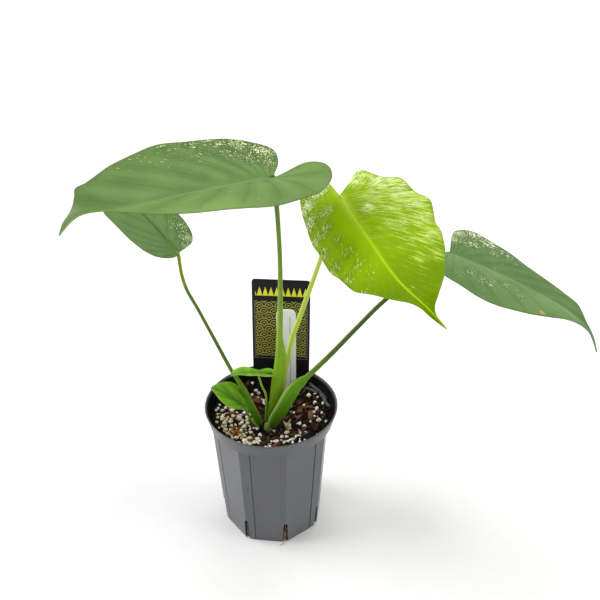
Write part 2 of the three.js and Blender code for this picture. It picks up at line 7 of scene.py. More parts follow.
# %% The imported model
import math
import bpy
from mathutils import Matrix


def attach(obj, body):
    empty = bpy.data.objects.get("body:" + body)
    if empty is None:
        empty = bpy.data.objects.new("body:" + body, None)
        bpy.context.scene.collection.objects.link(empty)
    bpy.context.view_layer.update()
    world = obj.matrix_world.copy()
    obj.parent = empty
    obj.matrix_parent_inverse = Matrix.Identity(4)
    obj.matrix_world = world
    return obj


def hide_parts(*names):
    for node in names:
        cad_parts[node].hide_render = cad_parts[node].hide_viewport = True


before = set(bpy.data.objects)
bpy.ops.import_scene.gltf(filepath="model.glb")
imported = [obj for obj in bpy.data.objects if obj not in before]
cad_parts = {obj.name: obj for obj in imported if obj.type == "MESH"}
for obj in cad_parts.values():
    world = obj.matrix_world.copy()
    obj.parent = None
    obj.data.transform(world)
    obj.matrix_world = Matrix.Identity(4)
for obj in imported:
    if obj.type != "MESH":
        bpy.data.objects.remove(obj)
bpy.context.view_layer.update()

from types import SimpleNamespace

import bpy
import numpy as np
from mathutils import Matrix, Vector, noise

MM = 0.001
print("nodes:", sorted(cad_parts))

# %% [markdown]
# The photograph looks down on the pot from a little over half a metre away. A lens of 45 mm on a
# 36 mm sensor gives its narrow view. Standard colours keep the greens as vivid as they were set.

# %% The camera
CAMERA_PLACE = (0.026, -0.535, 0.5585)
CAMERA_TILT = math.radians(59.1)
LENS, SENSOR_WIDTH = 45, 36

bpy.ops.object.camera_add(location=CAMERA_PLACE, rotation=(CAMERA_TILT, 0, 0))
camera = bpy.context.object
camera.data.lens = LENS
camera.data.sensor_width = SENSOR_WIDTH
bpy.context.scene.camera = camera
bpy.context.scene.view_settings.view_transform = "Standard"
print("camera at", CAMERA_PLACE)

# %% [markdown]
# A studio for plants is a bright, even room. A pale world lights every side, and two suns as wide
# as softboxes light the plant from the left and, more weakly, from the right, so the pot's left
# side is its lightest. A lamp overhead gives the leaves their sheen. As a light the world is dim,
# but where the camera looks past the floor it is as white as the paper.

# %% The studio
# Each sun has its bearing, its height and its spread in degrees, and its strength.
SUNS = [
    ("left_sun", -98, 32, 46, 3.0),
    ("right_sun", 84, 34, 46, 1.4),
    ("back_sun", 172, 58, 50, 0.45),
]
OVERHEAD_PLACE = (0.15, 0.45, 1.5)
OVERHEAD_SIZE = 1.0
OVERHEAD_POWER = 5.0
AIM = Vector((0.02, 0, 0.16))
WORLD_LIGHT, WORLD_SEEN = 0.40, 1.0


def aimed(away):
    return away.to_track_quat("Z", "Y").to_euler()


for lamp_name, bearing, lift, spread, strength in SUNS:
    turn, rise = math.radians(bearing), math.radians(lift)
    away = Vector((math.sin(turn) * math.cos(rise), -math.cos(turn) * math.cos(rise), math.sin(rise)))
    bpy.ops.object.light_add(type="SUN", location=2 * away, rotation=aimed(away))
    lamp = bpy.context.object
    lamp.name = lamp_name
    lamp.data.energy = strength
    lamp.data.angle = math.radians(spread)

overhead_turn = aimed(Vector(OVERHEAD_PLACE) - AIM)
bpy.ops.object.light_add(type="AREA", location=OVERHEAD_PLACE, rotation=overhead_turn)
lamp = bpy.context.object
lamp.name = "overhead_lamp"
lamp.data.shape = "DISK"
lamp.data.size = OVERHEAD_SIZE
lamp.data.energy = OVERHEAD_POWER

world = bpy.data.worlds.new("studio")
world.use_nodes = True
backdrop = world.node_tree.nodes["Background"]
backdrop.inputs["Color"].default_value = (1, 1, 1, 1)
ray = world.node_tree.nodes.new("ShaderNodeLightPath")
strength = world.node_tree.nodes.new("ShaderNodeMapRange")
strength.inputs["To Min"].default_value = WORLD_LIGHT
strength.inputs["To Max"].default_value = WORLD_SEEN
world.node_tree.links.new(ray.outputs["Is Camera Ray"], strength.inputs["Value"])
world.node_tree.links.new(strength.outputs["Result"], backdrop.inputs["Strength"])
bpy.context.scene.world = world
print(len(SUNS) + 1, "lamps")

# %% [markdown]
# Each finish is a small net of nodes. Written as sums, a net reads like the recipe it is, so a
# wire here is a socket that adds its own Math node when it is added, multiplied or raised.

# %% Wires that can be used in sums
class Wire:
    """An output socket. Each operator adds the Math node that does the sum."""

    def __init__(self, finish, socket):
        self.finish = finish
        self.socket = socket

    def __add__(self, other):
        return self.finish.sum("ADD", self, other)

    def __sub__(self, other):
        return self.finish.sum("SUBTRACT", self, other)

    def __rsub__(self, other):
        return self.finish.sum("SUBTRACT", other, self)

    def __mul__(self, other):
        return self.finish.sum("MULTIPLY", self, other)

    def __pow__(self, other):
        return self.finish.sum("POWER", self, other)

    __radd__ = __add__
    __rmul__ = __mul__


class Finish:
    """A material and the few kinds of node that its recipe needs."""

    def __init__(self, name, roughness=0.5):
        self.material = bpy.data.materials.new(name)
        self.material.use_nodes = True
        self.tree = self.material.node_tree
        self.shader = self.tree.nodes["Principled BSDF"]
        self.shader.inputs["Roughness"].default_value = roughness

    def node(self, kind, settings=None, sockets=None, out=0):
        made = self.tree.nodes.new(kind)
        for key, value in (settings or {}).items():
            if key == "stops":
                self.set_stops(made.color_ramp, value)
            else:
                setattr(made, key, value)
        for key, value in (sockets or {}).items():
            self.feed(made.inputs[key], value)
        return Wire(self, made.outputs[out])

    def sum(self, operation, first, second=0.0):
        return self.node("ShaderNodeMath", {"operation": operation}, {0: first, 1: second})

    def set_stops(self, ramp, stops):
        while len(ramp.elements) < len(stops):
            ramp.elements.new(1.0)
        for element, (place, colour) in zip(ramp.elements, stops):
            element.position = place
            element.color = (*colour, 1)

    def feed(self, socket, value):
        if isinstance(value, Wire):
            self.tree.links.new(value.socket, socket)
        elif socket.type == "RGBA":
            socket.default_value = (*value, 1)
        else:
            socket.default_value = value

    def set(self, **values):
        for name, value in values.items():
            self.feed(self.shader.inputs[name.replace("_", " ")], value)

    def place(self):
        return self.node("ShaderNodeTexCoord", out="Object")

    def marked(self, name, out="Fac"):
        return self.node("ShaderNodeAttribute", {"attribute_name": name}, out=out)

    def axis(self, vector, which):
        return self.node("ShaderNodeSeparateXYZ", None, {0: vector}, out=which)

    def stretched(self, vector, by):
        return self.node("ShaderNodeVectorMath", {"operation": "MULTIPLY"}, {0: vector, 1: by})

    def grain(self, vector, scale, detail=2.0, roughness=0.5):
        sockets = {"Vector": vector, "Scale": scale, "Detail": detail, "Roughness": roughness}
        return self.node("ShaderNodeTexNoise", None, sockets)

    def between(self, value, low, high):
        settings = {"interpolation_type": "SMOOTHSTEP"}
        return self.node("ShaderNodeMapRange", settings, {0: value, 1: low, 2: high})

    def near_zero(self, value, full, none):
        """1 where the value is within `full` of zero, 0 where it is past `none`."""
        return 1 - self.between(self.sum("ABSOLUTE", value, 0), full, none)

    def mixed(self, share, first, second):
        return self.node("ShaderNodeMix", {"data_type": "RGBA"}, {0: share, 6: first, 7: second}, out=2)

    def ramp(self, value, stops):
        return self.node("ShaderNodeValToRGB", {"stops": stops}, {0: value})

    def raise_by(self, height, distance, strength=1.0):
        sockets = {"Strength": strength, "Distance": distance, "Height": height}
        self.set(Normal=self.node("ShaderNodeBump", None, sockets))


def dress(piece, finish, slot):
    """Gives the piece its finish and its body. The slot is not used."""
    piece.data.materials.clear()
    piece.data.materials.append(finish.material)
    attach(piece, "root")


# %% [markdown]
# The floor is one large plane, far wider than the view, with a faint mottle like seamless paper.

# %% The floor
FLOOR_SIZE = 60

bpy.ops.mesh.primitive_plane_add(size=FLOOR_SIZE)
floor = bpy.context.object
floor.name = "floor"
paper = Finish("seamless_paper", roughness=0.9)
paper_mottle = paper.grain(paper.place(), 40, 3)
paper.set(Base_Color=paper.mixed(paper_mottle, (0.83, 0.83, 0.825), (0.86, 0.86, 0.86)))
floor.data.materials.append(paper.material)
print("floor", tuple(floor.dimensions))

# %% [markdown]
# Leaves, stalks, wall and soil all share one start: a flat grid from the Add menu, whose two
# directions are then read as shares from 0 to 1 and bent into the piece by its own formula.
# Extruded first, the grid is a closed slab with an upper and a lower face. Merging the vertices
# that meet closes seams and poles.

# %% Grids that become pieces
MERGE_WITHIN = 0.004 * MM
FINE_STEPS = 24


def added(name, primitive_add, **settings):
    """A new mesh from the Add menu, selected alone."""
    bpy.ops.object.select_all(action="DESELECT")
    primitive_add(**settings)
    piece = bpy.context.object
    piece.name = name
    return piece


def new_grid(name, rows, columns, slab=False):
    grid_add = bpy.ops.mesh.primitive_grid_add
    piece = added(name, grid_add, x_subdivisions=rows, y_subdivisions=columns, size=1)
    piece.data.name = name
    if slab:
        bpy.ops.object.mode_set(mode="EDIT")
        bpy.ops.mesh.select_all(action="SELECT")
        bpy.ops.mesh.extrude_region_move(TRANSFORM_OT_translate={"value": (0, 0, 1)})
        bpy.ops.object.mode_set(mode="OBJECT")
    return piece


def places_of(piece):
    found = np.zeros(3 * len(piece.data.vertices))
    piece.data.vertices.foreach_get("co", found)
    return found.reshape(-1, 3)


def set_places(piece, places):
    piece.data.vertices.foreach_set("co", (np.asarray(places) * MM).ravel())
    piece.data.update()


def mark(piece, name, values):
    """Stores one number or one vector for each vertex, for the finish to read."""
    values = np.asarray(values, float)
    kind = "FLOAT" if values.ndim == 1 else "FLOAT_VECTOR"
    layer = piece.data.attributes.new(name, kind, "POINT")
    layer.data.foreach_set("value" if values.ndim == 1 else "vector", values.ravel())


def pick(*pieces):
    """Selects these pieces alone, and makes the first of them active."""
    bpy.ops.object.select_all(action="DESELECT")
    for piece in pieces:
        piece.select_set(True)
    bpy.context.view_layer.objects.active = pieces[0]


def close_up(piece, smooth_below):
    """Merges what meets, turns the faces outwards and shades soft angles smooth."""
    pick(piece)
    bpy.ops.object.mode_set(mode="EDIT")
    bpy.ops.mesh.select_all(action="SELECT")
    bpy.ops.mesh.remove_doubles(threshold=MERGE_WITHIN)
    bpy.ops.mesh.dissolve_degenerate(threshold=MERGE_WITHIN)
    bpy.ops.mesh.select_all(action="SELECT")
    bpy.ops.mesh.normals_make_consistent(inside=False)
    bpy.ops.object.mode_set(mode="OBJECT")
    bpy.ops.object.shade_smooth_by_angle(angle=math.radians(smooth_below))


def smoothstep(low, high, value):
    t = np.clip((value - low) / (high - low), 0, 1)
    return t * t * (3 - 2 * t)


def soft_line(points, count):
    """count + 1 places an equal distance apart on a soft curve through the points."""
    p = np.array(points, float)
    before = np.vstack([p[:1], p[:-2]])
    after = np.vstack([p[2:], p[-1:]])
    start, end = p[:-1], p[1:]
    leave, arrive = (end - before) / 2, (after - start) / 2
    t = np.linspace(0, 1, FINE_STEPS, endpoint=False)[None, :, None]
    a, b, c, d = (v[:, None, :] for v in (start, end, leave, arrive))
    fine = (2 * a - 2 * b + c + d) * t**3 + (3 * b - 3 * a - 2 * c - d) * t**2 + c * t + a
    fine = np.vstack([fine.reshape(-1, p.shape[1]), p[-1:]])
    steps = np.linalg.norm(np.diff(fine[:, :3], axis=0), axis=1)
    run = np.concatenate([[0], np.cumsum(steps)])
    wanted = np.linspace(0, run[-1], count + 1)
    return np.stack([np.interp(wanted, run, fine[:, k]) for k in range(p.shape[1])], axis=1)


# %% [markdown]
# The pot is moulded in soft grey plastic. Its wall runs straight between eight corners, with a
# thin groove beside each, under a round band with a thin rolled rim. A grid wrapped round the
# axis follows the wall's plan at every height, and rows set close together keep edges crisp.

# %% The plan of the pot's wall
POT = dict(
    height=130, floor=2.5, wall=1.7, base_radius=47.7, waist_radius=55, band_bottom=115.5,
    band_radius=56.4, rim_radius=60, rim_lip=1.6, groove_share=0.957, groove_depth=0.9,
)
FIRST_CORNER = 15.2
GROOVE_TURN = 10.2
GROOVE_HALF = 0.62
CORNER_HALF = 0.7

corner_bearings = FIRST_CORNER + 45 * np.arange(8)
groove_bearings = corner_bearings + np.where(np.arange(8) < 4, 45 - GROOVE_TURN, GROOVE_TURN)


def corner_radius(z):
    share = np.clip(z / POT["band_bottom"], 0, 1.05)
    return POT["base_radius"] + (POT["waist_radius"] - POT["base_radius"]) * share


def wall_radius(bearing, z):
    """How far the wall is from the axis: straight lines between corners and grooves."""
    at = np.sort(np.concatenate([corner_bearings, groove_bearings, corner_bearings[:1] + 360]))
    share = {b: 1.0 for b in corner_bearings} | {b: POT["groove_share"] for b in groove_bearings}
    reach = np.array([share.get(b, 1.0) for b in at])
    turned = (bearing - FIRST_CORNER) % 360 + FIRST_CORNER
    i = np.clip(np.searchsorted(at, turned, side="right") - 1, 0, len(at) - 2)
    a, b = np.radians(at[i]), np.radians(at[i + 1])
    t = np.radians(turned)
    ra, rb = reach[i], reach[i + 1]
    return corner_radius(z) * ra * rb * np.sin(b - a) / (ra * np.sin(t - a) + rb * np.sin(b - t))


def outwards(bearing, radius, z):
    """Bearing 0 faces the viewer and 90 points to the right."""
    turn = np.radians(bearing)
    return np.stack([radius * np.sin(turn), -radius * np.cos(turn), z + 0 * turn], axis=-1)


corner_radii = [float(wall_radius(FIRST_CORNER, z)) for z in (0, POT["band_bottom"])]
print("wall from", corner_radii[0], "to", corner_radii[1], "mm at a corner")

# %% [markdown]
# The shell follows a profile from under the foot up the wall, over the rim and down the inside to
# the middle of the floor. Spinning the profile would give a round pot, so a grid takes its rows
# from it instead, and the plan says how far out each vertex goes.

# %% The pot's shell
BEARING_STEP, FIRST_BEARING = 3.0, 1.1
CLEAR_OF_EDGE = 1.5
OUTER_ROWS, WITHIN_ROWS = 15, 9
GROOVE_TOP = 114.6


def pot_bearings():
    """Even bearings, with close ones in place of those that lie near a corner or a groove."""
    around = set(np.round(np.arange(0, 360, BEARING_STEP) + FIRST_BEARING, 2))
    corner_edge = (-CORNER_HALF, -0.25, 0.25, CORNER_HALF)
    groove_edge = [turn * GROOVE_HALF for turn in (-1, -0.8, 0.8, 1)]
    edges = [(corner, corner_edge) for corner in corner_bearings]
    edges += [(groove, groove_edge) for groove in groove_bearings]
    for middle, offsets in edges:
        around = {b for b in around if abs((b - middle + 180) % 360 - 180) > CLEAR_OF_EDGE}
        around |= {middle + offset for offset in offsets}
    ordered = sorted(b % 360 for b in around)
    return np.array(ordered + [ordered[0] + 360])


def pot_profile():
    """Rows of how the radius is found, by how much and at what height, from the foot round the rim."""
    h, band = POT["height"], POT["band_bottom"]
    rim, lip = POT["rim_radius"], POT["rim_lip"]
    outside = [("floor", 0, 0), ("floor", 0.7, 0), ("wall", -0.9, 0), ("wall", -0.25, 0.15),
               ("wall", 0, 0.7)]
    outside += [("wall", 0, z) for z in (10, 20, 30, 45, 60, 75, 90, 105, 113.5, 114.4, 115.1)]
    band_side = [("round", POT["band_radius"] - 0.35, band), ("round", POT["band_radius"], band + 0.4),
                 ("round", (POT["band_radius"] + rim) / 2, (band + h) / 2)]
    top = [("round", rim - r, h - z) for r, z in
           ((0.1, 1.2), (0, 0.8), (0.1, 0.35), (0.45, 0.05), (0.8, 0), (1.2, 0.1), (1.5, 0.45))]
    within = [("round", rim - lip - 0.1, h - 1.1), ("round", rim - lip - 0.7, h - 3),
              ("round", corner_radius(band) - POT["wall"] + 0.2, band - 0.2),
              ("wall", -POT["wall"], band - 2)]
    within += [("wall", -POT["wall"], z) for z in (80, 40, POT["floor"] + 0.5)]
    within += [("wall", -POT["wall"] - 0.5, POT["floor"]), ("floor", 0.5, POT["floor"]),
               ("floor", 0, POT["floor"])]
    return outside + band_side + top + within


def make_pot():
    bearings, profile = pot_bearings(), pot_profile()
    piece = new_grid("pot_shell", len(bearings) - 1, len(profile) - 1)
    uv = places_of(piece)
    bearing = bearings[np.rint((uv[:, 0] + 0.5) * (len(bearings) - 1)).astype(int)]
    step = np.rint((uv[:, 1] + 0.5) * (len(profile) - 1)).astype(int)
    kind, size, z = (np.array(column)[step] for column in zip(*profile))
    wall = wall_radius(bearing, z)
    near = np.abs((bearing[:, None] - groove_bearings + 180) % 360 - 180).min(axis=1)
    outer = step < OUTER_ROWS
    groove = (near < 0.9 * GROOVE_HALF) & (kind == "wall") & outer & (z < GROOVE_TOP)
    radius = np.where(kind == "round", size, np.where(kind == "floor", size * wall, wall + size))
    radius = radius - POT["groove_depth"] * groove
    set_places(piece, outwards(bearing, radius, z))
    # The inner rows are marked `within`, and the finish paints them near black as painted shade.
    mark(piece, "within", np.where(step >= len(profile) - WITHIN_ROWS, 1.0, 0.0))
    close_up(piece, smooth_below=24)
    return piece


pot = make_pot()
print("pot shell:", len(pot.data.polygons), "faces")

# %% [markdown]
# Each corner has a tall slit at its foot that lets air to the roots. One cutter is modelled from
# a short cylinder laid across the wall: its round top stays and its lower half is pulled down
# and widened. Eight turned copies are taken out of the shell, each with a Boolean modifier.

# %% The slits
SLIT = dict(width=5.2, top_width=3.6, height=25, below=-1, inner=39, outer=62)


def make_slit_cutter():
    length = (SLIT["outer"] - SLIT["inner"]) * MM
    middle = (SLIT["outer"] + SLIT["inner"]) / 2 * MM
    round_radius = SLIT["top_width"] / 2 * MM
    top = SLIT["height"] * MM - round_radius
    cutter = added(
        "slit_cutter", bpy.ops.mesh.primitive_cylinder_add, vertices=24, radius=round_radius,
        depth=length, location=(0, -middle, top), rotation=(math.radians(90), 0, 0),
    )
    bpy.ops.object.transform_apply(location=True, rotation=True, scale=True)
    widen = SLIT["width"] / SLIT["top_width"]
    for vertex in cutter.data.vertices:
        if vertex.co.z < top - 1e-6:
            vertex.co.z = SLIT["below"] * MM
            vertex.co.x *= widen
    return cutter


def placed_copy(source, matrix):
    copy = source.copy()
    copy.data = source.data.copy()
    copy.data.transform(matrix)
    bpy.context.collection.objects.link(copy)
    return copy


def apply_modifier(piece, kind, **settings):
    """Adds a modifier to the active piece, sets it and applies it."""
    made = piece.modifiers.new(kind.lower(), kind)
    for key, value in settings.items():
        setattr(made, key, value)
    bpy.ops.object.modifier_apply(modifier=made.name)


def cut_slits(piece):
    first = make_slit_cutter()
    for bearing in corner_bearings:
        cutter = placed_copy(first, Matrix.Rotation(math.radians(bearing), 4, "Z"))
        pick(piece)
        apply_modifier(piece, "BOOLEAN", operation="DIFFERENCE", solver="EXACT", object=cutter)
        bpy.data.objects.remove(cutter)
    bpy.data.objects.remove(first)


cut_slits(pot)
print("pot with slits:", len(pot.data.polygons), "faces")

# %% [markdown]
# The plastic is a cool grey with a dull sheen. Its colour drifts a little, faint lines run down
# the wall as the mould drew off, dried water leaves pale traces above the foot and under the rim,
# and a very fine grain breaks up the highlights. The inside of the wall is painted near black as
# painted shade, and a thin dark line under the band is painted shade under its ledge.

# %% The pot's finish
def pot_finish():
    grey = Finish("grey_pot_plastic")
    at = grey.place()
    height = grey.axis(at, "Z")
    drift = grey.grain(at, 22, 3)
    draw_lines = grey.grain(grey.stretched(at, (900, 900, 14)), 1, 2)
    colour = grey.mixed(drift, (0.088, 0.090, 0.098), (0.112, 0.115, 0.120))
    colour = grey.mixed(grey.between(draw_lines, 0.4, 0.8) * 0.2, colour, (0.15, 0.155, 0.16))
    limescale = grey.between(grey.grain(at, 260, 4, 0.65), 0.56, 0.72)
    low = 1 - grey.between(height, 0.004, 0.034)
    high = grey.between(height, 0.117, 0.129)
    colour = grey.mixed(limescale * (low * 0.35 + high * 0.16), colour, (0.34, 0.33, 0.30))
    # Painted shade: a thin dark line just under the band's overhanging ledge.
    band = grey.between(height, 0.1150, 0.1158)
    colour = grey.mixed(band * 0.16, colour, (0.02, 0.02, 0.02))
    # Painted shade: the inside of the wall is painted near black.
    within = grey.marked("within")
    colour = grey.mixed(within, colour, (0.003, 0.003, 0.003))
    dull = grey.grain(at, 90, 3)
    grey.set(Base_Color=colour, Roughness=0.40 + 0.16 * dull + 0.1 * limescale)
    grey.set(Specular_IOR_Level=0.08, Coat_Weight=0.8 * (1 - within), Coat_Roughness=0.44)
    fine = grey.grain(at, 2600, 2)
    grey.raise_by(fine * 0.35 + draw_lines * 0.4, 0.00012, 0.5)
    return grey


dress(pot, pot_finish(), "pot_plastic")
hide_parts("pot")

# %% [markdown]
# The leaf stalks rise from a short crown. Low down each stalk is a sheath: a sheet folded into a
# channel whose two edges face the middle of the plant, where the next leaf came out. Higher up
# the channel closes to a shallow groove. Every stalk is a grid rolled round a soft middle line:
# the outside of the fold takes two thirds of the way round and its inside the rest.

# %% Rolled stalks
FRONT = np.array([0, -0.94, 0.34])
ROLL = dict(along=120, around=40, outside=0.68, opening=34, sheet=0.8, cap=0.012)


def stalk_line(stations, count):
    line = soft_line(stations, count)
    centre, sizes = line[:, :3], line[:, 3:]
    tangent = np.gradient(centre, axis=0)
    tangent /= np.linalg.norm(tangent, axis=1)[:, None]
    across = np.cross(FRONT, tangent)
    across /= np.linalg.norm(across, axis=1)[:, None]
    return centre, sizes, across, np.cross(tangent, across)


def roll_stalk(name, stations, opens=1, sheath=(0, 0), groove=0.16, along=ROLL["along"]):
    """opens is 1 where the channel faces `across` and -1 where it faces away from it."""
    piece = new_grid(name, along, ROLL["around"])
    uv = places_of(piece)
    row = np.rint((uv[:, 0] + 0.5) * along).astype(int)
    way = uv[:, 1] + 0.5
    centre, sizes, across, deep = stalk_line(stations, along)
    share = row / along
    end = np.minimum(np.minimum(share, 1 - share) / ROLL["cap"], 1)
    cap = np.sqrt(1 - (1 - end) ** 2)
    half, depth = sizes[row, 0] * cap, sizes[row, 1] * cap
    z = centre[row, 2]
    fold = groove + (1 - groove) * smoothstep(sheath[1], sheath[0], z) if sheath[1] else groove + 0 * z
    opening = math.radians(ROLL["opening"])
    outer = way <= ROLL["outside"]
    go = np.where(outer, way / ROLL["outside"], (way - ROLL["outside"]) / (1 - ROLL["outside"]))
    turn = np.where(outer, opening + (2 * math.pi - 2 * opening) * go, opening * (2 * go - 1))
    back = -opening - (2 * math.pi - 2 * opening) * go
    sheet = np.minimum(ROLL["sheet"], 0.45 * np.minimum(half, depth))
    x = half * np.cos(turn)
    y = depth * np.sin(turn)
    inner_x = (half - sheet) * np.cos(back)
    inner_y = (depth - sheet) * np.sin(back)
    x = np.where(outer, x, x + (inner_x - x) * fold)
    y = np.where(outer, y, y + (inner_y - y) * fold)
    places = centre[row] + across[row] * (opens * x)[:, None] + deep[row] * y[:, None]
    set_places(piece, places)
    edge = np.maximum(0, 1 - np.minimum(go, 1 - go) * 9) * fold
    mark(piece, "run", np.stack([z, way, share], axis=1))
    mark(piece, "edge", edge)
    mark(piece, "inside", np.where(outer, 0.0, fold))
    close_up(piece, smooth_below=50)
    return piece


# Each station is x, y, z, half the width and half the depth.
STALKS = dict(
    petiole_1=[
        (-1.6, -12.6, 117, 3.2, 2.3), (0.6, -12.8, 128, 4.2, 2.6), (4.2, -13.4, 142, 5.4, 2.9),
        (7.9, -13, 162, 6.9, 3), (9.8, -12.4, 176, 6.6, 2.9), (10.3, -12, 187, 5.7, 2.8),
        (9.6, -11.4, 199, 4.1, 2.7), (9.2, -11, 211, 2.9, 2.6), (9.7, -10, 228, 2.7, 2.5),
        (10.2, -9, 250, 2.3, 2.2), (10.3, -9, 275, 2.1, 2.1), (9.8, -10, 300, 2, 2.1),
        (8.5, -12, 328, 2.1, 2.1), (6.3, -14.8, 352.2, 2.4, 2.3),
    ],
    petiole_4=[
        (0.2, -17.8, 115.5, 3.6, 2.4), (2.4, -19.4, 125.5, 5.4, 3), (7.8, -20, 136, 6.5, 3.3),
        (12.6, -20, 146, 6.7, 3.4), (17.2, -20, 156, 6.6, 3.3), (22.8, -19.7, 164.5, 5.6, 3.1),
        (28.8, -19, 170, 4.1, 2.7), (32.6, -18.3, 173.4, 2.6, 2.4), (51.4, -14, 192.4, 2.3, 2.3),
        (73.6, -9, 217, 2.1, 2.1), (96, -4, 240.7, 2, 2), (123.5, -1, 264.5, 2, 2),
        (138.7, 0, 276.8, 2.1, 2.1), (144.8, -0.1, 281.3, 2.3, 2.2),
    ],
    petiole_3=[
        (1.4, -9.6, 118, 2, 1.8), (5, -8.2, 135, 2.2, 1.9), (11, -6.8, 160, 2.4, 2),
        (15.6, -5.8, 183, 2.5, 2.2), (19.2, -5, 202.7, 2.5, 2.3), (25.2, -4, 221.7, 2.3, 2.2),
        (31, -3, 240, 2.2, 2.1), (39.7, -3, 268.3, 2, 2), (46.5, -5, 293.6, 2, 2),
        (52.5, -8, 319, 2.1, 2), (55.9, -9.9, 333.8, 2.3, 2.2),
    ],
    petiole_2=[
        (-8.4, -14.6, 117, 3, 2.2), (-11.6, -14, 123, 4.2, 2.6), (-15.5, -12.5, 132, 4, 2.7),
        (-20, -10.5, 142, 3.9, 2.6), (-23.9, -8, 151.4, 3.1, 2.2), (-29, -4.8, 160, 2, 1.8),
        (-33.5, -2, 166, 1.8, 1.7), (-43.3, 5, 183.5, 1.7, 1.6), (-53.3, 14, 199.8, 1.6, 1.6),
        (-63.5, 24, 215.3, 1.6, 1.6), (-73.1, 35, 227.1, 1.6, 1.6), (-78.1, 44, 237.2, 1.6, 1.6),
        (-79.9, 48.5, 247.3, 1.6, 1.6), (-80.6, 50.1, 253.9, 1.8, 1.8),
    ],
    small_petiole_a=[
        (-10.6, -17.6, 116, 1.1, 1.1), (-14, -17.8, 120, 1.1, 1.1), (-17.6, -17.9, 125.4, 1.1, 1.1),
        (-19.8, -18, 131, 1.1, 1.1), (-20.9, -18.4, 137.9, 1.1, 1.1),
    ],
    small_petiole_b=[
        (-4.9, -12.2, 118, 1.1, 1.1), (-4.1, -12.4, 132, 1, 1), (-3.6, -12.5, 145, 1, 1),
        (-4.8, -12.4, 152, 1, 1), (-7.2, -12.2, 158, 1, 1), (-10.3, -12, 171.3, 1, 1),
    ],
)
print(len(STALKS), "stalks to roll")

# %% [markdown]
# A blade is a thin sheet whose two halves spring from the midrib. Laid flat it has a heart's
# outline with a long drip tip. The midrib arches, the tip droops and each half bends down
# towards its margin. Side veins leave the midrib low down and sweep out to the margin, so the
# grid's rows follow them: a row is one vein's way, and its columns lie closer near the midrib.

